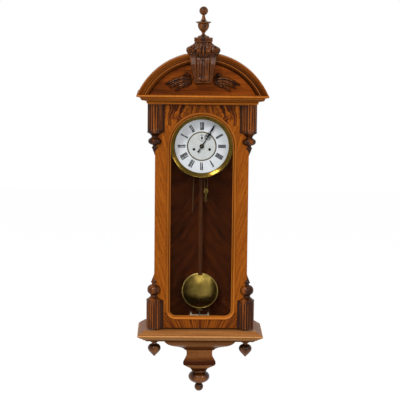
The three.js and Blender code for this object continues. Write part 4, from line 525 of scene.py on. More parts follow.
# %% Finishes of the construction parts
finish_of_slot = {
    "walnut": case_walnut, "dark_walnut": dark_walnut, "carved_walnut": carved_walnut,
    "rod_wood": rod_finish, "brass": wheel_brass, "steel": steel, "iron": iron,
    "blued_steel": blued_steel, "enamel": enamel, "ivory": ivory, "gut": gut, "glass": clear_glass,
}
finish_of_node = {
    "tympanum": panel_walnut, "door_frame": door_veneer, "movement_front_plate": plate_brass,
}
slot_of_node = {part["node"]: part["material_slot"] for part in frame["record"]["subparts"]}
arbors_from = -95 * mm
for node_name, node_object in frame["nodes"].items():
    finish = finish_of_node.get(node_name, finish_of_slot[slot_of_node[node_name]])
    if "pulley" in node_name:
        finish = pulley_brass
    # Painted shade: each drum's winding end in front of the dial is painted near black, as the shade inside
    # its winding hole.
    if "drum" in node_name:
        own_front = arbors_from - node_object.matrix_world.translation.y
        finish = metal(f"{node_name}_brass", *movement_tones, front=own_front)
        print(node_name, "has a dark steel end in front of", round(own_front, 4))
    wear(node_object, finish)

# %% [markdown]
# Almost every piece of this case was made by a profile: turned on a lathe, planed along a moulding or drawn
# round a window. So a few small functions make most of the clock: one smooths a profile, one numbers the
# faces of a grid of points, and one puts the grid into a mesh that rides with its part of the clock.

# %% Helpers for shapes
def smooth_profile(points, steps=5):
    """A smooth curve through the points (Catmull-Rom). A list among them holds corners, where the curve
    breaks."""
    runs = [[]]
    for item in points:
        if isinstance(item, list):
            for corner in item:
                runs[-1].append(corner)
                runs.append([corner])
        else:
            runs[-1].append(item)
    curves = []
    for p in (np.array(run, float) for run in runs if len(run) > 1):
        wide = np.vstack([2 * p[0] - p[1], p, 2 * p[-1] - p[-2]])
        t = np.linspace(0, 1, steps, endpoint=False)[None, :, None]
        a, b, c, d = (wide[i:len(p) - 1 + i][:, None] for i in range(4))
        square, cube = (2 * a - 5 * b + 4 * c - d) * t ** 2, (3 * b - a - 3 * c + d) * t ** 3
        curve = b + ((c - a) * t + square + cube) / 2
        curves += [curve.reshape(-1, p.shape[1]), p[-1:]]
    return np.vstack(curves)


def rise_over(value, low, high):
    """0 below low, 1 above high and a smooth S between them."""
    share = np.clip((value - low) / (high - low), 0, 1)
    return share * share * (3 - 2 * share)


def within(value, low, full_from, full_to, high):
    """1 between the two middle values, and smoothly down to 0 at the outer ones."""
    return rise_over(value, low, full_from) * (1 - rise_over(value, full_to, high))


def girth_of(*across):
    """How far along a profile each of its points lies, from its coordinates."""
    return np.concatenate([[0], np.cumsum(np.hypot(*(np.diff(part) for part in across)))])


def grid_faces(rows, columns, close_rows=False, close_columns=False):
    """Quads of a grid of points numbered row by row; a closed direction joins its last line and first."""
    r = np.arange(rows if close_rows else rows - 1)
    c = np.arange(columns if close_columns else columns - 1)
    r, c = (part.ravel() for part in np.meshgrid(r, c, indexing="ij"))
    row, next_row = r * columns, (r + 1) % rows * columns
    next_c = (c + 1) % columns
    return np.stack([row + c, row + next_c, next_row + next_c, next_row + c], -1)


def tube_faces(rows, columns):
    """Faces of a tube of closed rings with a flat cap on its first and its last ring."""
    caps = np.arange(columns) + np.array([[0], [(rows - 1) * columns]])
    return [grid_faces(rows, columns, False, True), caps]


def clean(mesh):
    """Merges the points that coincide and turns every face outward."""
    shape = bmesh.new()
    shape.from_mesh(mesh)
    bmesh.ops.remove_doubles(shape, verts=shape.verts, dist=2e-6)
    bmesh.ops.recalc_face_normals(shape, faces=shape.faces)
    shape.to_mesh(mesh)
    shape.free()


body_of_node = {
    node_name: body_name for node_name, node in frame["nodes"].items()
    for body_name, body in frame["bodies"].items() if node.parent == body
}


def make_piece(name, on, material, shells, sharp_degrees=35, instead=True, rides=True):
    """A piece from shells, each (points in mm, arrays of faces, girth and run in mm or None, painted shading
    or
    None). It rides with the construction part `on` unless rides is false, and replaces it when instead is
    true."""
    places, faces, runs, painted_shadings, first = [], [], [], [], 0
    for points, blocks, run, painted_shading in shells:
        points = np.asarray(points, float).reshape(-1, 3)
        places.append(points)
        for block in blocks:
            faces += (block + first).tolist()
        runs.append(np.zeros((len(points), 2)) if run is None else np.asarray(run, float).reshape(-1, 2))
        painted_shadings.append(np.zeros(len(points)) if painted_shading is None else np.asarray(painted_shading, float).ravel())
        first += len(points)
    mesh = bpy.data.meshes.new(name)
    mesh.from_pydata((np.vstack(places) * mm).tolist(), [], faces)
    corner_points = np.empty(len(mesh.loops), np.int32)
    mesh.loops.foreach_get("vertex_index", corner_points)
    layer = mesh.uv_layers.new(name="run")
    layer.data.foreach_set("uv", (np.vstack(runs)[corner_points] * mm).ravel().astype(np.float32))
    painted_shading_layer = mesh.attributes.new("painted_shading", "FLOAT", "POINT")
    painted_shading_layer.data.foreach_set("value", np.concatenate(painted_shadings).astype(np.float32))
    clean(mesh)
    mesh.polygons.foreach_set("use_smooth", np.ones(len(mesh.polygons), bool))
    mesh.set_sharp_from_angle(angle=math.radians(sharp_degrees))
    piece = bpy.data.objects.new(name, mesh)
    bpy.context.scene.collection.objects.link(piece)
    wear(piece, material)
    if rides:
        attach(piece, body_of_node[on])
    if instead:
        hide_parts(on)
    print(name, len(mesh.polygons), "faces")
    return piece


# %% [markdown]
# Three ways of shaping come from the workshop: a profile spun on the lathe, a moulding carried round the
# case and mitred at its corners, and a section drawn round a closed path.

# %% Ways of shaping
def turned(profile, centre=(0, 0, 0), sides=72, facing=False):
    """A profile of (radius, height) spun once round: x = r cos a, y = r sin a, z = height.
    Facing turns it to the front: then the height is the depth from the wall."""
    radius, height = np.asarray(profile, float).T[:, :, None]
    angle = np.linspace(0, 2 * np.pi, sides, endpoint=False)
    across, other = radius * np.cos(angle), radius * np.sin(angle)
    level = height + 0 * angle
    points = np.stack([across, -level, other] if facing else [across, other, level], -1)
    closed = bool(profile[0][0] > 0)
    return points + np.array(centre, float), [grid_faces(len(profile), sides, closed, True)], None, None


end_margin = 1.5
front_run, right_run = 300, 700


def carried_round(levels, shade, end_shade=0.0, at_wall=None):
    """A moulding carried from the wall forward along the left end, across the front and back to the wall.
    Each level is (half width, depth, height); the map holds the girth of the profile and the run along it.
    The shade of each level is painted light and shade: a positive value is painted shade, a negative one a
    painted highlight; the two ends are darker by end_shade, a painted shade.
    Where the ends rake inward, at_wall gives the half width at the wall."""
    dark = np.repeat(shade, 4)
    half, depth, height = np.asarray(levels, float).T
    girth = girth_of(half, height)
    rear = half if at_wall is None else at_wall
    posts = [np.stack([x, y, height], -1)
             for x, y in ((-rear, 0 * half), (-half, -depth), (half, -depth), (rear, 0 * half))]
    shells = []
    for first, start, end in ((0, 0, depth), (1, front_run - half, front_run + half),
                              (2, right_run, right_run + depth)):
        near, far = posts[first], posts[first + 1]
        length = np.hypot(*(far - near).T[:2])[:, None]
        step = end_margin * (far - near) / np.maximum(length, end_margin)
        points = np.stack([near, near + step, far - step, far], 1)
        places = (start, start + end_margin, end - end_margin, end)
        run = np.stack([np.stack([girth, place + 0 * girth], -1) for place in places], 1)
        shells.append((points, [grid_faces(len(half), 4)], run, dark + (first != 1) * end_shade))
    shells.append((np.stack([posts[3], posts[0]], 1), [grid_faces(len(half), 2)], None, None))
    for end in (0, -1):
        shells.append((np.array([post[end] for post in posts]), [np.arange(4)[None]], None, None))
    return shells


def drawn_round(path, normals, section):
    """A section of (out, depth, shade) drawn round a closed path in the front plane, out along its
    normals."""
    out, depth, shade = section.T
    x, z = (path[:, None, i] + normals[:, None, i] * out for i in (0, 1))
    points = np.stack([x, np.broadcast_to(-depth, x.shape), z], -1)
    run = np.stack(np.broadcast_arrays(girth_of(out, depth)[None, :], girth_of(*path.T)[:, None]), -1)
    return points, [grid_faces(len(path), len(section), True, True)], run, np.broadcast_to(shade, x.shape)


print("ends of a moulding are shaded up to", end_margin, "mm from the mitre")

# %% [markdown]
# The striking side's line has lost its weight, so it hangs free from the bracket behind the dial.
# It is two-millimetre gut: limp, nearly straight, with a slight set from the drum. A curve with a round bevel
# along the construction's own route makes it.

# %% Loose line
line_points = [(-23.4, -46.6), (-23.4, -60.3), (-24.6, -92), (-25.6, -140), (-26.4, -185), (-27, -220)]
line_depth = 72
line_diameter = 2 * mm
line_route = smooth_profile(line_points)
line_curve = bpy.data.curves.new("loose_line", "CURVE")
line_curve.dimensions = "3D"
line_curve.bevel_depth = line_diameter / 2
line_curve.bevel_resolution = 3
line_curve.use_fill_caps = True
spline = line_curve.splines.new("POLY")
spline.points.add(len(line_route) - 1)
for point, (x, z) in zip(spline.points, line_route):
    point.co = (x * mm, -line_depth * mm, z * mm, 1)
loose_line = bpy.data.objects.new("loose_line", line_curve)
bpy.context.scene.collection.objects.link(loose_line)
wear(loose_line, gut)
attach(loose_line, body_of_node["strike_line"])
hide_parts("strike_line")

# %% [markdown]
# The cornice crowns the case: a top fillet, a hollow and a small bead near its foot with a painted highlight.
# It is one planed moulding, mitred at the corners, so its profile is carried round the front and both ends,
# with the grain along each run.

# %% Cornice
# The third number of each point is painted light and shade: a painted highlight on the bead, the hollow and
# the top fillet, painted shade in the quirks; the ends of the run get painted shade (end_shade).
cornice_profile = smooth_profile([
    [(0, 0, 0.2), (0, 2.4, 0.2)], (1.2, 2.5, -0.3), (3.4, 2.9, -0.9), (4.5, 4.6, -1.2),
    (3.8, 6.2, -0.6), [(2.4, 6.9, 0.9)], (3.8, 8.4, 0.1), (7, 10.4, -0.2), (12, 12.3, -0.3),
    (19.4, 13.9, -0.4), [(19.4, 13.9, 0.1), (19.4, 16.2, 0), (21.4, 16.2, 0.9)], (22.6, 18, 0.5),
    (23.4, 20.4, 0.2), (25, 22.5, -0.2), (29, 24.3, -0.2), (33, 25.2, 0), (34.6, 25.8, 0.5),
    [(34.6, 26.4, 1)], (35.7, 26.4, -0.2), (36, 27.2, -0.3), (36, 30.4, -0.3), (35.5, 31.5, -0.4),
])
cornice_foot = np.array([172, 169, 138.5])
out, up, painted_light = cornice_profile.T
make_piece("cornice_moulding", "cornice", moulding_walnut,
           carried_round(cornice_foot + np.stack([out, out, up], -1), painted_light, end_shade=0.6))

# %% [markdown]
# The base is the same kind of moulding upside down: a broad bevel that faces up and shines, a rounded nosing,
# and a run of small hollows below. Under it the console draws in to a waist and swells again.

# %% Base moulding and console
# The third number is painted light and shade: a painted highlight on the nosing and the small hollows,
# painted shade in the quirks; the ends of the run get painted shade (end_shade).
base_profile = smooth_profile([
    [(0, -591, 0.1), (18.6, -601.2, 0), (18.8, -602.4, 0.9)], (20.4, -602.6, -0.9),
    (21.9, -603.6, -0.9), (22.5, -605.5, -0.6), (22, -607.4, -0.3), (20.6, -608.8, 0.2),
    [(20.4, -609, 0.9), (19, -609.4, 0.9)], (17.4, -610.2, -0.6), (15.4, -611.8, -0.7),
    (14.6, -613.4, -0.3), [(14.6, -613.6, 0.8), (13, -613.8, 0.5)], (10.5, -615, -0.9),
    (7.2, -617, -0.9), (4.6, -619.2, -0.8), (2.6, -621, -0.3),
    [(2.6, -621.2, 0.9), (-1.6, -621.8, 0.9)], (-2.4, -623, 0.3), (-2.8, -624.4, 0.5),
    [(-2.8, -624.4, 0.9), (-5.4, -625, 0.9), (-6, -627, 0.9)],
])
base_top = (179.5, 171)
out, z, painted_light = base_profile.T
make_piece("base_bevel", "base_moulding", base_walnut,
           carried_round(np.stack([base_top[0] + out, base_top[1] + out, z], -1), painted_light, end_shade=0.2))

console_top, console_height = -627.3, 123
waist, waist_depth, flare_out, flare_forward, wall_draw = 42, 80, 77, 60, 6
# The fourth number is painted light and shade: painted shade under the flare, on the swell's lower half and
# at the foot, a painted highlight on the band under the swell; the ends get painted shade (end_shade).
console_shape = smooth_profile([
    [(0, 1, 0, 0.4), (0.02, 1, 0, 0.4), (0.025, 0.95, 0, 0.1)], (0.07, 0.93, 0, -0.1),
    (0.115, 0.87, 0, -0.2), (0.165, 0.77, 0, -0.2), (0.215, 0.61, 0, -0.1), (0.255, 0.42, 0, 0.15),
    (0.293, 0.26, 0, 0.35), (0.335, 0.14, 0, 0.45), (0.375, 0.08, 0, 0.45),
    [(0.385, 0.07, 0, 0.45), (0.39, 0.02, 0, -0.1)], (0.43, 0.005, 0, -0.1), (0.475, 0, 0, 0),
    (0.53, 0, 0.6, 0), (0.58, 0, 3.2, 0), (0.63, 0, 7.4, 0.2), (0.68, 0, 10.6, 0.4),
    (0.73, 0, 11.4, 0.5), (0.77, 0, 10.4, 0.6), [(0.795, 0, 8.2, 0.8), (0.8, 0, 6.8, -0.35)],
    (0.85, 0, -1, -0.35), (0.914, 0, -12, -0.2), [(0.93, 0, -14, 0.4)], (0.97, 0, -17.9, 0.8),
    (1, 0, -19.5, 0.8),
])
drop, flare, swell, painted_light = console_shape.T
console_levels = np.stack([waist + flare_out * flare + swell, waist_depth + flare_forward * flare + swell,
                           console_top - drop * console_height], -1)
make_piece("console", "console_bracket", console_walnut,
           carried_round(console_levels, painted_light, end_shade=0.3,
                         at_wall=waist + flare_out * flare - wall_draw))

# %% [markdown]
# The drops under the base and the finial under the console come off the lathe, so each is a profile spun
# round. The profile is drawn from the silhouette: a heart with a small collar, and a bun with a ball.

# %% Turned drops and bottom finial
def turning_with_painted_light(profile, centre, sides=72, strength=0.9):
    """A turning with painted light and shade: painted shade where it faces up and a painted highlight where
    it faces down. The shade is the height component of the profile's outward normal."""
    points, faces, run, _ = turned(profile, centre, sides)
    across, up = np.gradient(np.asarray(profile, float), axis=0).T
    facing_up = -across * np.sign(up) / np.maximum(np.hypot(across, up), 1e-9)
    return points, faces, run, np.repeat(strength * facing_up, sides)


def ball_outline(start, stop, radius, centre, steps=22):
    """The outline of a ball from one angle to another, where it meets the axis."""
    turn = np.linspace(start, stop, steps)
    outline = np.stack([radius * np.cos(turn), centre + radius * np.sin(turn)], -1)
    outline[-1, 0] = 0
    return outline


heart_profile = smooth_profile([
    (0, -55), (1.6, -53.6), (6, -49), (12.4, -42.6), (17.8, -36), (20.6, -30.4), (21, -26.6),
    (20, -21.4), (16.6, -16.4), (11.4, -13.4), [(8.2, -12.4)], (7.6, -10), [(8, -7.6)], (11.6, -7),
    (13.6, -4.8), (13.9, -2), [(13.7, 0), (0, 0)],
])
drop_x, drop_y, drop_top = 147.5, -139, -627.3
for hand, side in ((-1, "left"), (1, "right")):
    make_piece(f"{side}_drop", f"{side}_pendant", turned_walnut,
               [turning_with_painted_light(heart_profile, (hand * drop_x, drop_y, drop_top))])

bun_profile = smooth_profile([
    [(0, 0), (20.5, 0)], (23, -1.4), (24.4, -4), (24, -6.4), [(22.4, -8), (24, -9)], (29.6, -12.2),
    (33.8, -18), (35.2, -24.7), (33.8, -31.4), (29, -37.6), (22, -42.4), (13.4, -46.2), (9.4, -47.3),
    [(8.6, -47.5)],
], 6)
ball_radius, neck_radius, neck_height = 14.7, 8.6, -47.5
ball_meet = math.acos(neck_radius / ball_radius)
ball_centre = neck_height - ball_radius * math.sin(ball_meet)
ball_profile = ball_outline(ball_meet, -math.pi / 2, ball_radius, ball_centre)
bun_place = (0, -36, -750.6)
make_piece("bun_and_ball", "bottom_finial", turned_walnut,
           [turning_with_painted_light(np.vstack([bun_profile, ball_profile]), bun_place, sides=96)])

# %% [markdown]
# The urn on top is turned too: a foot, a thin waist, a cup with a flaring lip, and a ball on a stem.

# %% Urn
urn_profile = smooth_profile([
    [(0, 0), (18, 0)], (18.3, 1.4), (17.6, 3.4), (14, 5.2), (9.6, 6.6), (7, 8.4), (5.2, 10.6),
    (4.5, 13), (4.8, 14.4), [(6.6, 15)], (7.2, 16.2), [(6.6, 17.4)], (9.6, 19.8), (13.6, 24.4),
    (16.6, 30), (17.9, 35), (18.1, 39), [(17.6, 41.4)], (19.4, 43.4), (22.4, 45), (24.2, 46.6),
    (24.5, 47.8), (24, 48.7), [(23.6, 48.9)], (18, 49.6), (12.4, 50.9), (8.8, 53), (6.9, 56.6),
    (5.6, 61), (4.6, 65.4), (4.1, 68), (4.8, 69), [(5, 69.3)],
])
urn_ball_radius, stem_radius, urn_ball_centre = 13.8, 5, 82.2
urn_meet = -math.acos(stem_radius / urn_ball_radius)
urn_ball = ball_outline(urn_meet, math.pi / 2, urn_ball_radius, urn_ball_centre)
urn_place = (0, -182.5, 350.6)
make_piece("urn", "urn_finial", turned_walnut,
           [turning_with_painted_light(np.vstack([urn_profile, urn_ball]), urn_place, sides=64, strength=0.4)])

# %% [markdown]
# The pediment's arch is a moulding bent to a circle: an outer ogee, a narrow quirk, a flat band with a fine
# bead and a hollow that falls to the panel. The profile is carried along the arc. Each of its points ends
# where its own circle meets the level foot, so that the arch stands flat on the cornice.

# %% Arch
arch_foot, arch_centre, arch_outer = 170.3, 78.2, 226.1
# The third number is painted light and shade: painted shade in the quirks and down the hollow to the panel, a
# painted highlight on the bead.
arch_profile = smooth_profile([
    [(192.1, 150, 0), (226.1, 150, 0), (226.1, 194, 0)], (225.6, 195.4, -0.4), (224.2, 196, -0.4),
    (221.6, 195.8, 0), [(221.4, 195.6, 0.5)], (218.4, 194.2, 0), (214, 190.4, 0), (210.6, 187.2, 0.1),
    (207.6, 186.2, 0.3), [(207.4, 186, 0.6), (206.6, 182.2, 1), (205.4, 182.2, 1)],
    (204.8, 184.6, -0.3), (203.2, 185.2, -0.9), (201.6, 184.6, -0.7), (201, 182.6, 0.6),
    [(201, 182.4, 1), (198.8, 182.2, 0.2)], (198.4, 180.2, 0.1), (197, 177.2, 0.1),
    (194.8, 173.6, 0.3), (192.3, 170.6, 0.6), (190.8, 169, 0.8),
    [(190.4, 168.4, 1), (190.4, 167.4, 1), (192.1, 167.4, 1)],
])
arch_radii, arch_depths, arch_shade = arch_profile.T
arch_start = np.arcsin((arch_foot - arch_centre) / arch_radii)
arch_angle = arch_start + np.linspace(0, 1, 161)[:, None] * (math.pi - 2 * arch_start)
arch_points = np.stack([
    arch_radii * np.cos(arch_angle), 0 * arch_angle - arch_depths,
    arch_centre + arch_radii * np.sin(arch_angle),
], -1)
arch_run = np.stack(np.broadcast_arrays(girth_of(arch_radii, arch_depths), arch_angle * arch_outer), -1)
arch_dark = arch_shade + 0 * arch_angle
arch_shell = (arch_points, tube_faces(*arch_dark.shape), arch_run, arch_dark)
make_piece("arch", "arch_moulding", arch_walnut, [arch_shell])

# %% [markdown]
# The keystone is the richest carving: a tapering framed panel with a leaf at its foot, two rolled scrolls
# with an acanthus leaf between them, a reeded neck and a plain cap. A relief like this is a height over a
# plane, as a carver sees it, so it is a sum of small shapes on one grid: frames, flutes, lobes and spirals.

# %% Keystone outline
keystone_foot, keystone_back = 206.3, 160
half_width_points = smooth_profile([
    (0, 24), (1.2, 26.6), (4, 27.6), (30, 33), (55, 38.4), (80, 43), (88, 44.4), (92, 46.6), (97, 50),
    (101, 52.6), (105, 53.5), (109, 52.8), (112, 50), (115, 44.4), (119, 36.8), (123, 31), (127, 27.6),
    [(131, 25.8), (131, 28.2)], (132, 28.6), (143, 28.6), (144, 28),
], 6)
side_view_points = smooth_profile([
    (0, 188), (4, 193), (17, 197), (43, 201.4), (60, 202.8), (78, 200.4), (86, 199), (95, 203),
    (106, 205), (115, 203.4), (124, 199.4), [(130.6, 198), (131, 201.6)], (132, 202), (137, 202),
    (140, 202.8), (144, 202.8),
], 6)
rows_v = np.concatenate([np.linspace(0, 130.8, 190), np.linspace(131.2, 144, 22)])
columns_u = np.linspace(-1, 1, 141)
v = rows_v[:, None]
half = np.interp(rows_v, *half_width_points.T)[:, None]
x = half * columns_u
mirrored_x = np.abs(x)


def mounds(*rows):
    """A sum of rounded mounds, each a bell curve of (height, place across, place up, width, length)."""
    return sum(tall * np.exp(-((mirrored_x - at_x) / wide) ** 2 - ((v - at_v) / long) ** 2)
               for tall, at_x, at_v, wide, long in rows)


def ridge(distance, width):
    """A rounded ridge where the distance is 0."""
    return np.exp(-(distance / width) ** 2)


print("keystone grid", x.shape)

# %% [markdown]
# The carving is added up from the foot: the sunk panel with its beaded edge and flutes, the leaf at the
# foot, the hanging leaf with its veins, the scrolls, which are spirals in the distance and angle from their
# eyes, and the reeded neck.

# %% Keystone carving
edge_drop, panel_depth, leaf_rise = 3.5, 3.6, 4.2
at_edge = rise_over(np.abs(columns_u), 0.9, 1.0)
relief = np.interp(rows_v, *side_view_points.T)[:, None] - edge_drop * at_edge
panel_half = 20.3 + 1.6 * rise_over(v, 20, 84)
in_panel = rise_over(panel_half - mirrored_x, -0.8, 0.8) * within(v, 5, 7.5, 82, 88)
relief += 1.4 * ridge(mirrored_x - panel_half - 1, 1.2) * within(v, 4, 7, 84, 88) - panel_depth * in_panel
flutes = np.cos(2 * np.pi * mirrored_x / (7.4 + 0.02 * v)) * within(v, 20, 34, 70, 78)
relief += (0.7 + 0.3 * np.sin(0.35 * v + 0.9 * mirrored_x)) * flutes * in_panel

foot_leaf = mounds((7.2, 0, 12, 9.5, 6.5), (2.2, 10.5, 15.5, 4, 4.5), (1.6, 0, 24, 4, 9),
                   (-1.3, 5, 11, 1.3, 6))
relief += foot_leaf * (1 - rise_over(mirrored_x, 18, 21))

leaf_tip = 70 + 0.9 * mirrored_x + 5 * np.abs(np.sin(mirrored_x / 3.4))
hanging_leaf = within(v, leaf_tip, leaf_tip + 3, 100, 112) * (1 - rise_over(mirrored_x, 19, 24))
veins = 0.9 * np.sin(1.25 * mirrored_x - 0.28 * v) * rise_over(mirrored_x, 2, 5)
relief += (leaf_rise + veins) * hanging_leaf + 1.2 * ridge(x, 2.2) * within(v, 76, 86, 118, 128)
relief += mounds((5.6, 15.5, 103, 7.4, 8), (-3.2, 5.4, 103, 2.6, 12), (-2.0, 26.5, 101, 1.8, 9))

scroll_x, scroll_v, scroll_pitch = 41.5, 103.5, 5.2
from_scroll = np.hypot(mirrored_x - scroll_x, (v - scroll_v) * 1.05)
scroll_turn = np.arctan2(v - scroll_v, mirrored_x - scroll_x)
spiral = np.cos(2 * np.pi * from_scroll / scroll_pitch - scroll_turn)
relief += (2.6 + 1.1 * spiral) * (1 - rise_over(from_scroll, 9.4, 11.4))
relief += mounds((2.4, 0, scroll_v, 200, 6.5)) * rise_over(mirrored_x, 22, 30)

reeds = np.abs(np.cos(np.pi * mirrored_x / 4.4)) * within(v, 112, 118, 129.5, 130.8)
relief += 1.5 * reeds * (1 - rise_over(mirrored_x, 24, 27))
relief += 1.6 * ridge(mirrored_x - 34 + 0.35 * (v - 112), 2.2) * within(v, 106, 112, 124, 130)


def cavity_shading_of(height, reach=6):
    """How far each point lies below the mean of its neighbours: painted shade in the recesses, where shade
    falls and dust gathers.
    """
    kernel = np.hanning(2 * reach + 1)
    kernel /= kernel.sum()
    mean = np.pad(height, reach, mode="edge")
    for axis in (0, 1):
        mean = np.apply_along_axis(np.convolve, axis, mean, kernel, "valid")
    return np.clip((mean - height) / 1.2, -0.6, 1)


front = np.stack([x, -relief, keystone_foot + v + 0 * x], -1)
left, right = (
    np.stack([side * half, 0 * half - keystone_back, keystone_foot + v], -1) for side in (-1, 1)
)
keystone_points = np.concatenate([left, front, right], 1)
# Painted shade: the carving's recesses are darkened, fading out at the sides.
painted_shading = np.pad(cavity_shading_of(relief) * (1 - rise_over(np.abs(columns_u), 0.9, 0.97)), ((0, 0), (1, 1)))
keystone_shell = (keystone_points, tube_faces(*painted_shading.shape), None, painted_shading)
make_piece("carved_keystone", "keystone", carved_walnut, [keystone_shell], sharp_degrees=50)

# %% [markdown]
# Two leaf sprays lie on the panel. Each is a handful of acanthus leaflets from one root: a curl that stands
# up by the keystone, long lobes that droop outward and a glossy tail. A leaflet is a strip along a curved
# spine, domed across, with a grooved vein and a wavy edge.

# %% Leaf sprays
panel_front = 167.3


def leaflet(spine, half_width, height, lift=0.0, waves=5):
    """A domed strip along a smooth spine: height sqrt(1 - s^2), less a groove at s = 0."""
    line = smooth_profile(spine, 8)
    step = np.gradient(line, axis=0)
    step /= np.maximum(np.hypot(*step.T), 1e-9)[:, None]
    normal = np.stack([-step[:, 1], step[:, 0]], -1)
    t = np.linspace(0, 1, len(line))[:, None]
    s = np.linspace(-1, 1, 19)
    edge = 1 + 0.13 * np.sin(2 * np.pi * waves * t) * s
    width = half_width * np.clip(np.sin(np.pi * t ** 0.75) ** 0.55, 0.02, 1) * edge
    plan = line[:, None] + normal[:, None] * (width * s)[..., None]
    dome = height * np.sqrt(np.clip(1 - s ** 2, 0, 1)) * np.clip(np.sin(np.pi * t ** 0.8) ** 0.4, 0.05, 1)
    dome += height * (0.09 * np.cos(2 * np.pi * waves * t) * s ** 2 - 0.32 * ridge(s, 0.16))
    top = 1.2 + np.clip(dome, 0, None) + lift * np.sin(np.pi * t / 2) ** 2
    points = np.stack([plan[..., 0], -(panel_front + top), plan[..., 1]], -1)
    feet = points[:, [0, -1]].copy()
    feet[..., 1] = -panel_front
    points = np.concatenate([feet[:, :1], points, feet[:, 1:]], 1)
    # Painted shade: darker along the grooved vein and towards the edges, where the leaflet meets the panel.
    shade = 0.9 * (ridge(s, 0.2) + s ** 6) + 0 * t
    return points, tube_faces(*points.shape[:2]), None, np.pad(shade, ((0, 0), (1, 1)), mode="edge")


leaflets = (
    ([(35, 209), (39, 221), (45, 231), (53, 234), (58, 229), (56, 224)], 5.6, 8.5, 1.5),
    ([(33, 212), (50, 219), (70, 219), (92, 212), (108, 205), (118, 203)], 7.8, 7.5, 1.0),
    ([(36, 209), (56, 211), (78, 206), (96, 197), (104, 191)], 6.6, 6.5, 1.0),
    ([(34, 207), (50, 205.5), (67, 199), (81, 188), (87, 181)], 6.0, 7.5, 1.5),
    ([(34, 206), (46, 202), (56, 197), (62, 192)], 4.6, 5.5, 0.5),
    ([(46, 215), (58, 223), (68, 226), (76, 224)], 4.6, 6.5, 0.5),
    ([(72, 217), (82, 219), (90, 216), (95, 212)], 4.2, 6.5, 0.5),
)
for hand, side in ((-1, "left"), (1, "right")):
    shells = [leaflet([(hand * at_x, at_z) for at_x, at_z in spine], *sizes) for spine, *sizes in leaflets]
    make_piece(f"{side}_spray", f"{side}_leaf_spray", carved_walnut, shells, sharp_degrees=60)

# %% [markdown]
# A moulding frames the window: a small bead by the glass and a rounded slope outside it, with a painted
# highlight along the foot where it faces up. Its section is drawn along the window's outline, a half circle
# over two straight sides with rounded lower corners; the third number of the section is painted light and
# shade.

# %% Window moulding
window_radius, window_centre, window_foot, corner_radius = 98.5, 2, -545, 20
foot_painted_highlight = 0.8


def arc(centre, radius, low, high, count):
    """Points of an arc with their outward normals."""
    turn = np.linspace(low, high, count)
    out = np.stack([np.cos(turn), np.sin(turn)], -1)
    return np.array(centre) + radius * out, out


def upright(at_x, heights):
    """Points of an upright side with their outward normals."""
    line = np.stack([at_x + 0 * heights, heights], -1)
    return line, np.sign(line) * (1, 0)


def window_line():
    """The window's outline, anticlockwise from the right springing, with its outward normals."""
    corner_x, corner_z = window_radius - corner_radius, window_foot + corner_radius
    heights = np.linspace(window_centre, corner_z, 24)[1:-1]
    parts = (
        arc((0, window_centre), window_radius, 0, np.pi, 97), upright(-window_radius, heights),
        arc((-corner_x, corner_z), corner_radius, np.pi, 1.5 * np.pi, 17),
        arc((corner_x, corner_z), corner_radius, 1.5 * np.pi, 2 * np.pi, 17),
        upright(window_radius, heights[::-1]),
    )
    return [np.vstack(both) for both in zip(*parts)]


bead_section = smooth_profile([
    [(0, 142, 0.5), (0, 147.6, 0.3)], (0.4, 149.4, -0.2), (1.6, 150.4, -0.5), (2.8, 149.8, 0.2),
    [(3.2, 148.6, 1)], (3.8, 149.4, 0.8), (5.6, 151.2, 0.1), (7.6, 152.6, -0.1), (9.4, 153.4, -0.2),
    (11, 153.2, 0), (11.7, 152, 0.4), [(11.8, 150.3, 0.8), (5, 150.3, 0.8), (5, 142, 0.8)],
])
outline_points, outline_normals = window_line()
points, faces, run, painted_shading = drawn_round(outline_points, outline_normals, bead_section)
# Painted highlight: the slope is lightened along the foot of the window, where it faces up.
facing_up = rise_over(-outline_normals[:, 1], 0.3, 0.9)[:, None]
painted_shading = painted_shading - foot_painted_highlight * facing_up * within(bead_section[:, 0], 3.2, 5, 10.6, 11.8)
make_piece("window_moulding", "window_bead", moulding_walnut, [(points, faces, run, painted_shading)])

# %% [markdown]
# Four split columns stand at the door's corners: a fluted shaft, a collar, a bun and a pointed tip, notched
# so that they sit over the door's edge. The section of each height is the arc of a circle, sunk where a
# flute runs, closed by the two faces of the notch.

# %% Columns
column_x, column_y = 149, -144
notch_x, notch_y, notch_back = 0.08, -6.1, 16.0
flute_count, flute_deep, flute_half, shaft_radius = 18, 2.2, 0.31, 24.5


def turning_below_shaft(bun):
    """(drop below the shaft, radius) of the collar, neck, bun and tip for a bun of this height."""
    tip = 28.3 + bun
    return smooth_profile([
        [(0, 24.4)], (0.6, 25), (2.2, 25.4), (4.2, 25.2), (5.6, 24.2), [(5.8, 22.8)], (8.6, 19.2),
        (11.5, 15.6), (14.4, 12.8), (17.6, 11.4), (20.2, 11.6), [(20.4, 13.2)], (22 + 0.05 * bun, 16),
        (22 + 0.16 * bun, 19.6), (22 + 0.32 * bun, 21.7), (22 + 0.5 * bun, 22),
        (22 + 0.68 * bun, 21.2), (22 + 0.84 * bun, 18.2), (22 + 0.95 * bun, 13.8),
        [(22 + bun, 9.6), (22.8 + bun, 8)], (25.5 + bun, 7.3), [(tip - 0.6, 7.8)], (tip, 9.8),
        (tip + 2.2, 10.6), (tip + 4.4, 10), [(tip + 4.9, 8.8)], (tip + 9, 7.8), (tip + 14, 5.8),
        (tip + 20, 3.4), (tip + 26, 1.3), (tip + 28, 0.4),
    ])


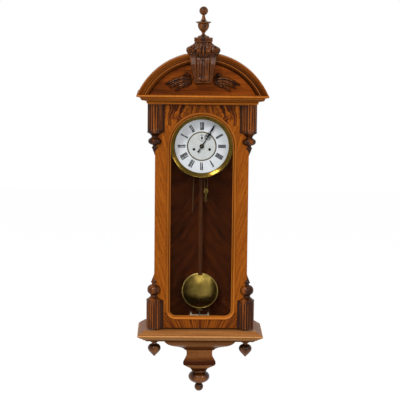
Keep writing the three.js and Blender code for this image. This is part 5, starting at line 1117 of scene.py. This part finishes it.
def column_shells(shaft_from, shaft_to, bun, shade):
    """Rings from the shaft's plain end to the tip. The shaft runs from one height to the other; the rest of
    the turning goes on in the same direction."""
    way = np.sign(shaft_to - shaft_from)
    below = turning_below_shaft(bun)
    shaft = np.linspace(shaft_from, shaft_to, 26)
    level = np.concatenate([shaft, shaft_to + way * below[:, 0]])
    radius = np.concatenate([np.full(len(shaft), shaft_radius), below[:, 1]])[:, None]
    fluted = np.concatenate([1 - rise_over(way * (shaft - shaft_to), -6, -1), 0 * below[:, 0]])[:, None]
    to_x, to_y, to_back = (
        np.arcsin(np.clip(reach / radius, 0, 1)) for reach in (notch_x, -notch_y, notch_back)
    )
    first = np.pi + np.where(radius > -notch_y, to_y, np.pi / 2 + to_x)
    last = 2 * np.pi + np.where(radius > notch_back, to_back, np.pi / 2 - to_x)
    angle = first + np.linspace(0, 1, 241) * (last - first)
    off_centre = np.abs((angle / (2 * np.pi / flute_count)) % 1 - 0.5) / flute_half
    flute = np.sqrt(np.clip(1 - off_centre ** 2, 0, 1)) * fluted
    ring = radius - flute_deep * flute
    dx, dy = ring * np.cos(angle), ring * np.sin(angle)
    back_y = np.minimum(notch_back, dy[:, -1:])
    corner_y = np.maximum(notch_y, dy[:, :1])
    dx = np.concatenate([dx, notch_x + 0 * back_y, notch_x + 0 * corner_y], 1)
    dy = np.concatenate([dy, back_y, corner_y], 1)
    points = np.stack([column_x + dx, column_y + dy, level[:, None] + 0 * dx], -1)
    # Painted shade: the flutes are darker where they sink, and the turning below the shaft is darker by its
    # shade.
    painted_shading = np.where(flute > 0.35, flute, 0) + (1 - fluted) * shade
    return points, tube_faces(*dx.shape), None, np.pad(painted_shading, ((0, 0), (0, 2)))


def backing_strip(low, high):
    """A flat moulded strip behind the shaft, its section drawn straight up."""
    section = smooth_profile([
        [(-30, -150.3), (-30, -152.4)], (-29.4, -153.2), (-28, -153.3), (-27.2, -152.6),
        [(-27, -152), (-25.6, -152)], (-25.4, -152.8), (-24.4, -153.3),
        [(-24, -153.3), (0, -153.3), (0, -150.3)],
    ], 4)
    x, y = section.T
    points = np.stack([np.stack([column_x + x, y, z + 0 * x], -1) for z in (low, high)])
    # Painted shade: the whole strip is dark, as the shade beside the column.
    return points, tube_faces(2, len(section)), None, np.ones(2 * len(section))


# The last number is the painted shade on the turning below each shaft, darker on the upper columns.
for part, shaft_from, shaft_to, bun, strip, shade in (
    ("upper", 138, 52, 22, (49, 138), 0.9), ("lower", -586, -497, 31, (-584.7, -493), 0.4),
):
    for hand, side in ((-1, "left"), (1, "right")):
        shells = [column_shells(shaft_from, shaft_to, bun, shade), backing_strip(*strip)]
        shells = [(points * np.array([hand, 1, 1]), *rest) for points, *rest in shells]
        make_piece(f"{part}_{side}_turned_column", f"{part}_{side}_column", column_walnut, shells,
                   sharp_degrees=40)

# %% [markdown]
# The dial's figures are fired black on the enamel. A Roman figure is made of strokes: thick uprights and
# left slants, thin right slants, and hairline serifs. Each stroke is a flat four-cornered plate a few
# hundredths of a millimetre proud, drawn upright once and turned to its hour.

# %% Dial figures
dial_front, ink_gap, ink_thick = 104.4, 0.01, 0.08
figure_inner, figure_outer = 52.3, 77.0
thick, thin, serif = 3.0, 1.4, 1.2
letter_width = {"I": 3.6, "V": 6.1, "X": 6.3}
hour_figures = ("XII", "I", "II", "III", "IIII", "V", "VI", "VII", "VIII", "IX", "X", "XI")
block_faces = np.array(
    [[0, 1, 2, 3], [4, 5, 6, 7], [0, 1, 5, 4], [1, 2, 6, 5], [2, 3, 7, 6], [3, 0, 4, 7]]
)


def upright_quad(low_x, high_x, half, low, high):
    """Corners of a stroke between two distances from the centre, given its middle at each end."""
    return [(low_x - half, low), (low_x + half, low), (high_x + half, high), (high_x - half, high)]


def letter_strokes(letter, at):
    """The strokes of I, V or X standing at a place, with its serifs."""
    slopes = {"I": ((0, 0, thick),), "V": ((0.1, -1.8, thick), (0.1, 2.2, thin)),
              "X": ((1.7, -1.7, thick), (-2, 2, thin))}[letter]
    half = 1.7 if letter == "I" else 3.0
    found = [upright_quad(at + low, at + high, width / 2, figure_inner, figure_outer)
             for low, high, width in slopes]
    for edge, inward in ((figure_inner, 1), (figure_outer, -1)):
        if letter != "V" or inward < 0:
            found.append(upright_quad(at, at, half, edge, edge + inward * serif))
    return found


def plates(quads, turns, centre=(0, 0)):
    """Flat four-cornered plates: each quad is turned clockwise about the centre and given two faces and a
    rim."""
    flat = np.array(quads, float)
    turn = np.array(turns, float)[:, None]
    x = centre[0] + flat[..., 0] * np.cos(turn) + flat[..., 1] * np.sin(turn)
    z = centre[1] - flat[..., 0] * np.sin(turn) + flat[..., 1] * np.cos(turn)
    back = dial_front + ink_gap
    points = np.stack([np.stack([x, 0 * x - depth, z], -1) for depth in (back, back + ink_thick)], 1)
    faces = (block_faces[None] + 8 * np.arange(len(flat))[:, None, None]).reshape(-1, 4)
    return points.reshape(-1, 3), [faces], None, None


quads, turns = [], []
for hour, figure in enumerate(hour_figures):
    place = -sum(letter_width[letter] for letter in figure) / 2
    for letter in figure:
        strokes = letter_strokes(letter, place + letter_width[letter] / 2)
        quads += strokes
        turns += [math.radians(30 * hour)] * len(strokes)
        place += letter_width[letter]

track_radius, seconds_height = 82, 26.3
sixty_turns = np.radians(np.arange(60) * 6)
is_fifth = np.arange(60) % 5 == 0
for dot in np.where(is_fifth, 0.9, 0.4):
    low, high = track_radius - dot, track_radius + dot
    quads.append([(-dot, track_radius), (0, low), (dot, track_radius), (0, high)])
turns += list(sixty_turns)
second_quads = [upright_quad(0, 0, 0.22, low, 10.8) for low in np.where(is_fifth, 8.8, 9.8)]
make_piece("dial_figures", "dial", fired_ink,
           [plates(quads, turns), plates(second_quads, sixty_turns, (0, seconds_height))], instead=False)

# Painted shade: black rings round the winding holes, so that the holes read as dark.
hole_x, hole_z, hole_radius, rim_radius = 25, -10.3, 3.4, 4.5
edge_back, edge_front = dial_front + ink_gap, dial_front + 0.07
hole_edge = [(hole_radius, edge_back), (rim_radius, edge_back), (rim_radius, edge_front),
             (hole_radius, edge_front)]
hole_edges = [turned(hole_edge, (at_x, 0, hole_z), sides=48, facing=True) for at_x in (-hole_x, hole_x)]
make_piece("hole_shade_rings", "dial", fired_ink, hole_edges, instead=False)

# %% [markdown]
# The bezel is spun brass: a fine inner lip, a cone that throws the light about, and a rolled outer edge.
# The ring round the centre is a half-round hoop. Both are profiles turned to face the front.

# %% Bezel and dial ring
bezel_profile = smooth_profile([
    [(86.8, 104.7), (92.7, 104.7), (93, 102.2), (101.5, 102.2)], (101.5, 108), (101.4, 110.6),
    (100.8, 112.4), (99.6, 113), (98, 112.7), (95, 111.2), (91, 109), (88, 107.2), [(87.4, 106.8)],
    (86.9, 106.9), (86.4, 106.5), (86.2, 105.8), (86.4, 105), [(86.8, 104.7)],
])
make_piece("spun_bezel", "dial_bezel", bezel_brass, [turned(bezel_profile[:-1], sides=144, facing=True)])
hoop_radius, hoop_half, hoop_rise, hoop_back = 45.6, 2, 0.68, 104.7
hoop = [(hoop_radius + hoop_half * math.cos(a), hoop_back + hoop_rise * math.sin(a))
        for a in np.linspace(0, math.pi, 11)]
make_piece("dial_hoop", "dial_ring", hoop_brass, [turned(hoop, sides=120, facing=True)])

# %% [markdown]
# The hands are pierced and filed from thin steel, then blued: a rosette of small scrolls on a slim arm.
# They are cut here as flat bars and rings that overlap, with the ring's own curve as a round-cornered
# section.

# %% Hands
def flat_bar(points, turn, back, thickness=0.8, bulge=0.15):
    """A symmetrical bar: (half width, distance) pairs mirrored, turned clockwise, with a slightly domed
    face."""
    half, along = np.array(points, float).T
    columns = [(share, thickness - bulge + up)
               for share, up in ((-1, 0), (-0.55, bulge), (0, bulge * 1.25), (0.55, bulge), (1, 0))]
    columns += [(1, 0), (-1, 0)]
    across, depth = (np.array(part)[None, :] for part in zip(*columns))
    across, along = half[:, None] * across, along[:, None]
    x = across * math.cos(turn) + along * math.sin(turn)
    z = -across * math.sin(turn) + along * math.cos(turn)
    points = np.stack([x, -(back + depth) + 0 * x, z], -1)
    return points, tube_faces(*points.shape[:2]), None, None


def flat_hoop(at_x, at_z, outer, inner, turn, back, thickness=0.8):
    """A thin ring at a place on the hand, turned with it."""
    cosine, sine = math.cos(turn), math.sin(turn)
    centre = (at_x * cosine + at_z * sine, 0, at_z * cosine - at_x * sine)
    crest = ((outer + inner) / 2, back + thickness)
    shoulder = back + 0.8 * thickness
    profile = [(inner, back), (outer, back), (outer, shoulder), crest, (inner, shoulder)]
    return turned(profile, centre, sides=40, facing=True)


def make_hand(name, node, turn, back, bars, hoops):
    """A hand of bars and hoops (x, z, outer, inner); a hoop that stands off the arm stands on both sides."""
    shells = [flat_bar(bar, turn, back) for bar in bars]
    for at_x, at_z, outer, inner in hoops:
        for side in (1, -1) if at_x else (1,):
            shells.append(flat_hoop(side * at_x, at_z, outer, inner, turn, back))
    make_piece(name, node, blued_steel, shells, sharp_degrees=50)


shown_minutes = 65.2
minute_turn = 2 * math.pi * shown_minutes / 60
hour_arm = smooth_profile([(2.1, 5.5), (1.8, 12), (1.6, 20), (1.6, 26), [(1.6, 27.5)]], 4)
hour_tip = smooth_profile([
    [(0.9, 44.5)], (1.7, 46.5), (1.9, 48), (1.2, 50.4), (0.5, 52), (0.15, 53),
], 4)
make_hand("pierced_hour_hand", "hour_hand", minute_turn / 12, 106.4,
          [hour_arm, hour_tip, [(0.5, 26), (0.5, 46)]],
          [(0, 0, 6.6, 3.3), (4.6, 31.4, 4.4, 3.2), (4.4, 40.2, 4.2, 3.1), (0, 35.8, 4.0, 2.9),
           (8.6, 35.6, 2.4, 1.5), (0, 44.2, 2.2, 1.3), (0, 28, 2.0, 1.2)])

minute_arm = smooth_profile([(1.9, 4.8), (1.5, 14), (1.2, 30), (1.2, 39), [(1.2, 40)]], 4)
minute_blade = smooth_profile([
    [(0.7, 55)], (2.3, 58), (3.1, 61), (3.0, 64), (2.2, 70), (1.2, 77), (0.3, 82.4),
], 4)
minute_tail = smooth_profile([
    (1.0, -5), (1.3, -10), (2.1, -15.5), (3.1, -19.5), (2.6, -22), (0.9, -23),
], 4)
make_hand("pierced_minute_hand", "minute_hand", minute_turn, 108.8,
          [minute_arm, minute_blade, minute_tail[::-1], [(0.45, 39), (0.45, 56)]],
          [(0, 0, 7.2, 2.6), (3.4, 43.2, 3.3, 2.4), (3.0, 50.4, 3.0, 2.1), (0, 47, 2.9, 2.1),
           (0, 54.2, 1.7, 1.0), (0, 40.4, 1.6, 0.9)])

second_back = 104.8
second_bars = ([(1.0, 2), (0.8, 8), (0.5, 12.6)], [(0.7, -9.5), (0.9, -6), (0.7, -2)])
boss_profile = smooth_profile([
    [(1.2, 104.8), (3.4, 104.8)], (3.4, 105.2), (2.6, 105.5), (1.3, 105.5), [(1.2, 105.4)],
], 4)
second_shells = [flat_bar(bar, 0, second_back, 0.6, 0.1) for bar in second_bars]
second_shells.append(turned(boss_profile[:-1], sides=40, facing=True))
second_shells = [(points + np.array([0, 0, seconds_height]), *rest) for points, *rest in second_shells]
make_piece("fine_seconds_hand", "seconds_hand", blued_steel, second_shells, sharp_degrees=50)

# %% [markdown]
# The bob is a lens of thin brass with a raised rim that has a painted highlight. Its faces come from a
# profile turned to the front; the slot for the rod and the hole for the threaded end are then cut through it
# from above.

# %% Pendulum bob
bob_height, bob_depth = -485, 40
bob_profile = smooth_profile([
    (0, 13), (14, 12.6), (26, 11.2), (38, 8.6), (48, 5.6), (55.6, 3), [(56, 2.9)], (57, 3.6),
    (58.6, 3.4), (59.7, 2), (60, 0), (59.7, -2), (58.6, -3.4), (57, -3.6), [(56, -2.9)], (55.6, -3),
    (48, -5.6), (38, -8.6), (26, -11.2), (14, -12.6), (0, -13),
])
bob_profile[[0, -1], 0] = 0
bob_profile[:, 1] += bob_depth
lens = turned(bob_profile, (0, 0, bob_height), sides=112, facing=True)
bob = make_piece("brass_bob", "pendulum_bob", bob_brass, [lens], sharp_degrees=30)


def cut_out(piece, name, points, faces):
    """Cuts a plain block out of the piece, keeps the result as the piece's mesh and removes the block."""
    mesh = bpy.data.meshes.new(name)
    mesh.from_pydata((np.asarray(points, float).reshape(-1, 3) * mm).tolist(), [], faces.tolist())
    clean(mesh)
    block = bpy.data.objects.new(name, mesh)
    bpy.context.scene.collection.objects.link(block)
    made = piece.modifiers.new("cut", "BOOLEAN")
    made.operation = "DIFFERENCE"
    made.solver = "EXACT"
    made.object = block
    bpy.context.view_layer.update()
    seen = piece.evaluated_get(bpy.context.evaluated_depsgraph_get())
    result = bpy.data.meshes.new_from_object(seen)
    piece.modifiers.clear()
    piece.data = result
    bpy.data.objects.remove(block)


slot_wide, slot_deep, slot_foot, slot_top = 6.8, 4.3, -522.5, -420
slot_box = [(x * slot_wide, y * slot_deep - bob_depth, z) for z in (slot_foot, slot_top)
            for x, y in ((-1, -1), (1, -1), (1, 1), (-1, 1))]
cut_out(bob, "rod_slot", slot_box, block_faces)
hole_radius, hole_foot, hole_top = 2.4, -560, -521
hole_profile = [(0, hole_foot), (hole_radius, hole_foot), (hole_radius, hole_top), (0, hole_top)]
thread_hole = turned(hole_profile, (0, -bob_depth, 0), sides=24)
cut_out(bob, "thread_hole", thread_hole[0], thread_hole[1][0])
print("bob", len(bob.data.polygons), "faces after its slot")

# %% [markdown]
# The pulley's sheave is a turned brass wheel with a groove for the line.

# %% Sheave
sheave_profile = smooth_profile([
    [(1.6, 69), (7.4, 69)], (7.7, 69.4), (7.4, 69.9), [(7.3, 69.9)], (4.6, 70.3), (3.4, 71), (3.2, 72),
    (3.4, 73), (4.6, 73.7), [(7.3, 74.1)], (7.7, 74.6), [(7.4, 75), (1.6, 75), (1.6, 69)],
], 4)
sheave_place = (15.7, 0, -149)
sheave_shell = turned(sheave_profile[:-1], sheave_place, sides=64, facing=True)
make_piece("turned_sheave", "line_sheave", wheel_brass, [sheave_shell])

# %% [markdown]
# The driving line runs down from the drum, round the sheave and up to the bracket. It is drawn as a round
# section along that path, with many steps on the straight runs; on the real clock the runs lengthen as the
# pulley goes down. Here the line rides with no part of the clock and stays where it is drawn.

# %% Driving line
line_low, line_high = (np.array(corner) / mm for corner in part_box("going_line"))
strand_radius = line_diameter / mm / 2
drum_side_x, lug_side_x = line_low[0] + strand_radius, line_high[0] - strand_radius
bend_radius = (lug_side_x - drum_side_x) / 2
sheave_height = line_low[2] + strand_radius + bend_radius
lug_height = line_points[0][1]


def round_section_along(path, radius, sides=10):
    """A tube along a path in the front plane: point + radius (cos a normal + sin a depth)."""
    step = np.gradient(path, axis=0)
    step /= np.hypot(*step.T)[:, None]
    angle = np.linspace(0, 2 * np.pi, sides, endpoint=False)
    x = path[:, :1] - radius * np.cos(angle) * step[:, 1:]
    z = path[:, 1:] + radius * np.cos(angle) * step[:, :1]
    points = np.stack([x, -line_depth + radius * np.sin(angle) + 0 * x, z], -1)
    return points, tube_faces(*x.shape), None, None


bend_centre = ((drum_side_x + lug_side_x) / 2, sheave_height)
line_path = np.vstack([
    upright(drum_side_x, np.linspace(line_high[2], sheave_height, 60)[:-1])[0],
    arc(bend_centre, bend_radius, np.pi, 2 * np.pi, 25)[0],
    upright(lug_side_x, np.linspace(sheave_height, lug_height, 50)[1:])[0],
])
line_shell = round_section_along(line_path, strand_radius)
driving_line = make_piece("driving_line", "going_line", gut, [line_shell], rides=False)
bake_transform(driving_line)
print("driving line", np.round([drum_side_x, lug_side_x, sheave_height], 2))
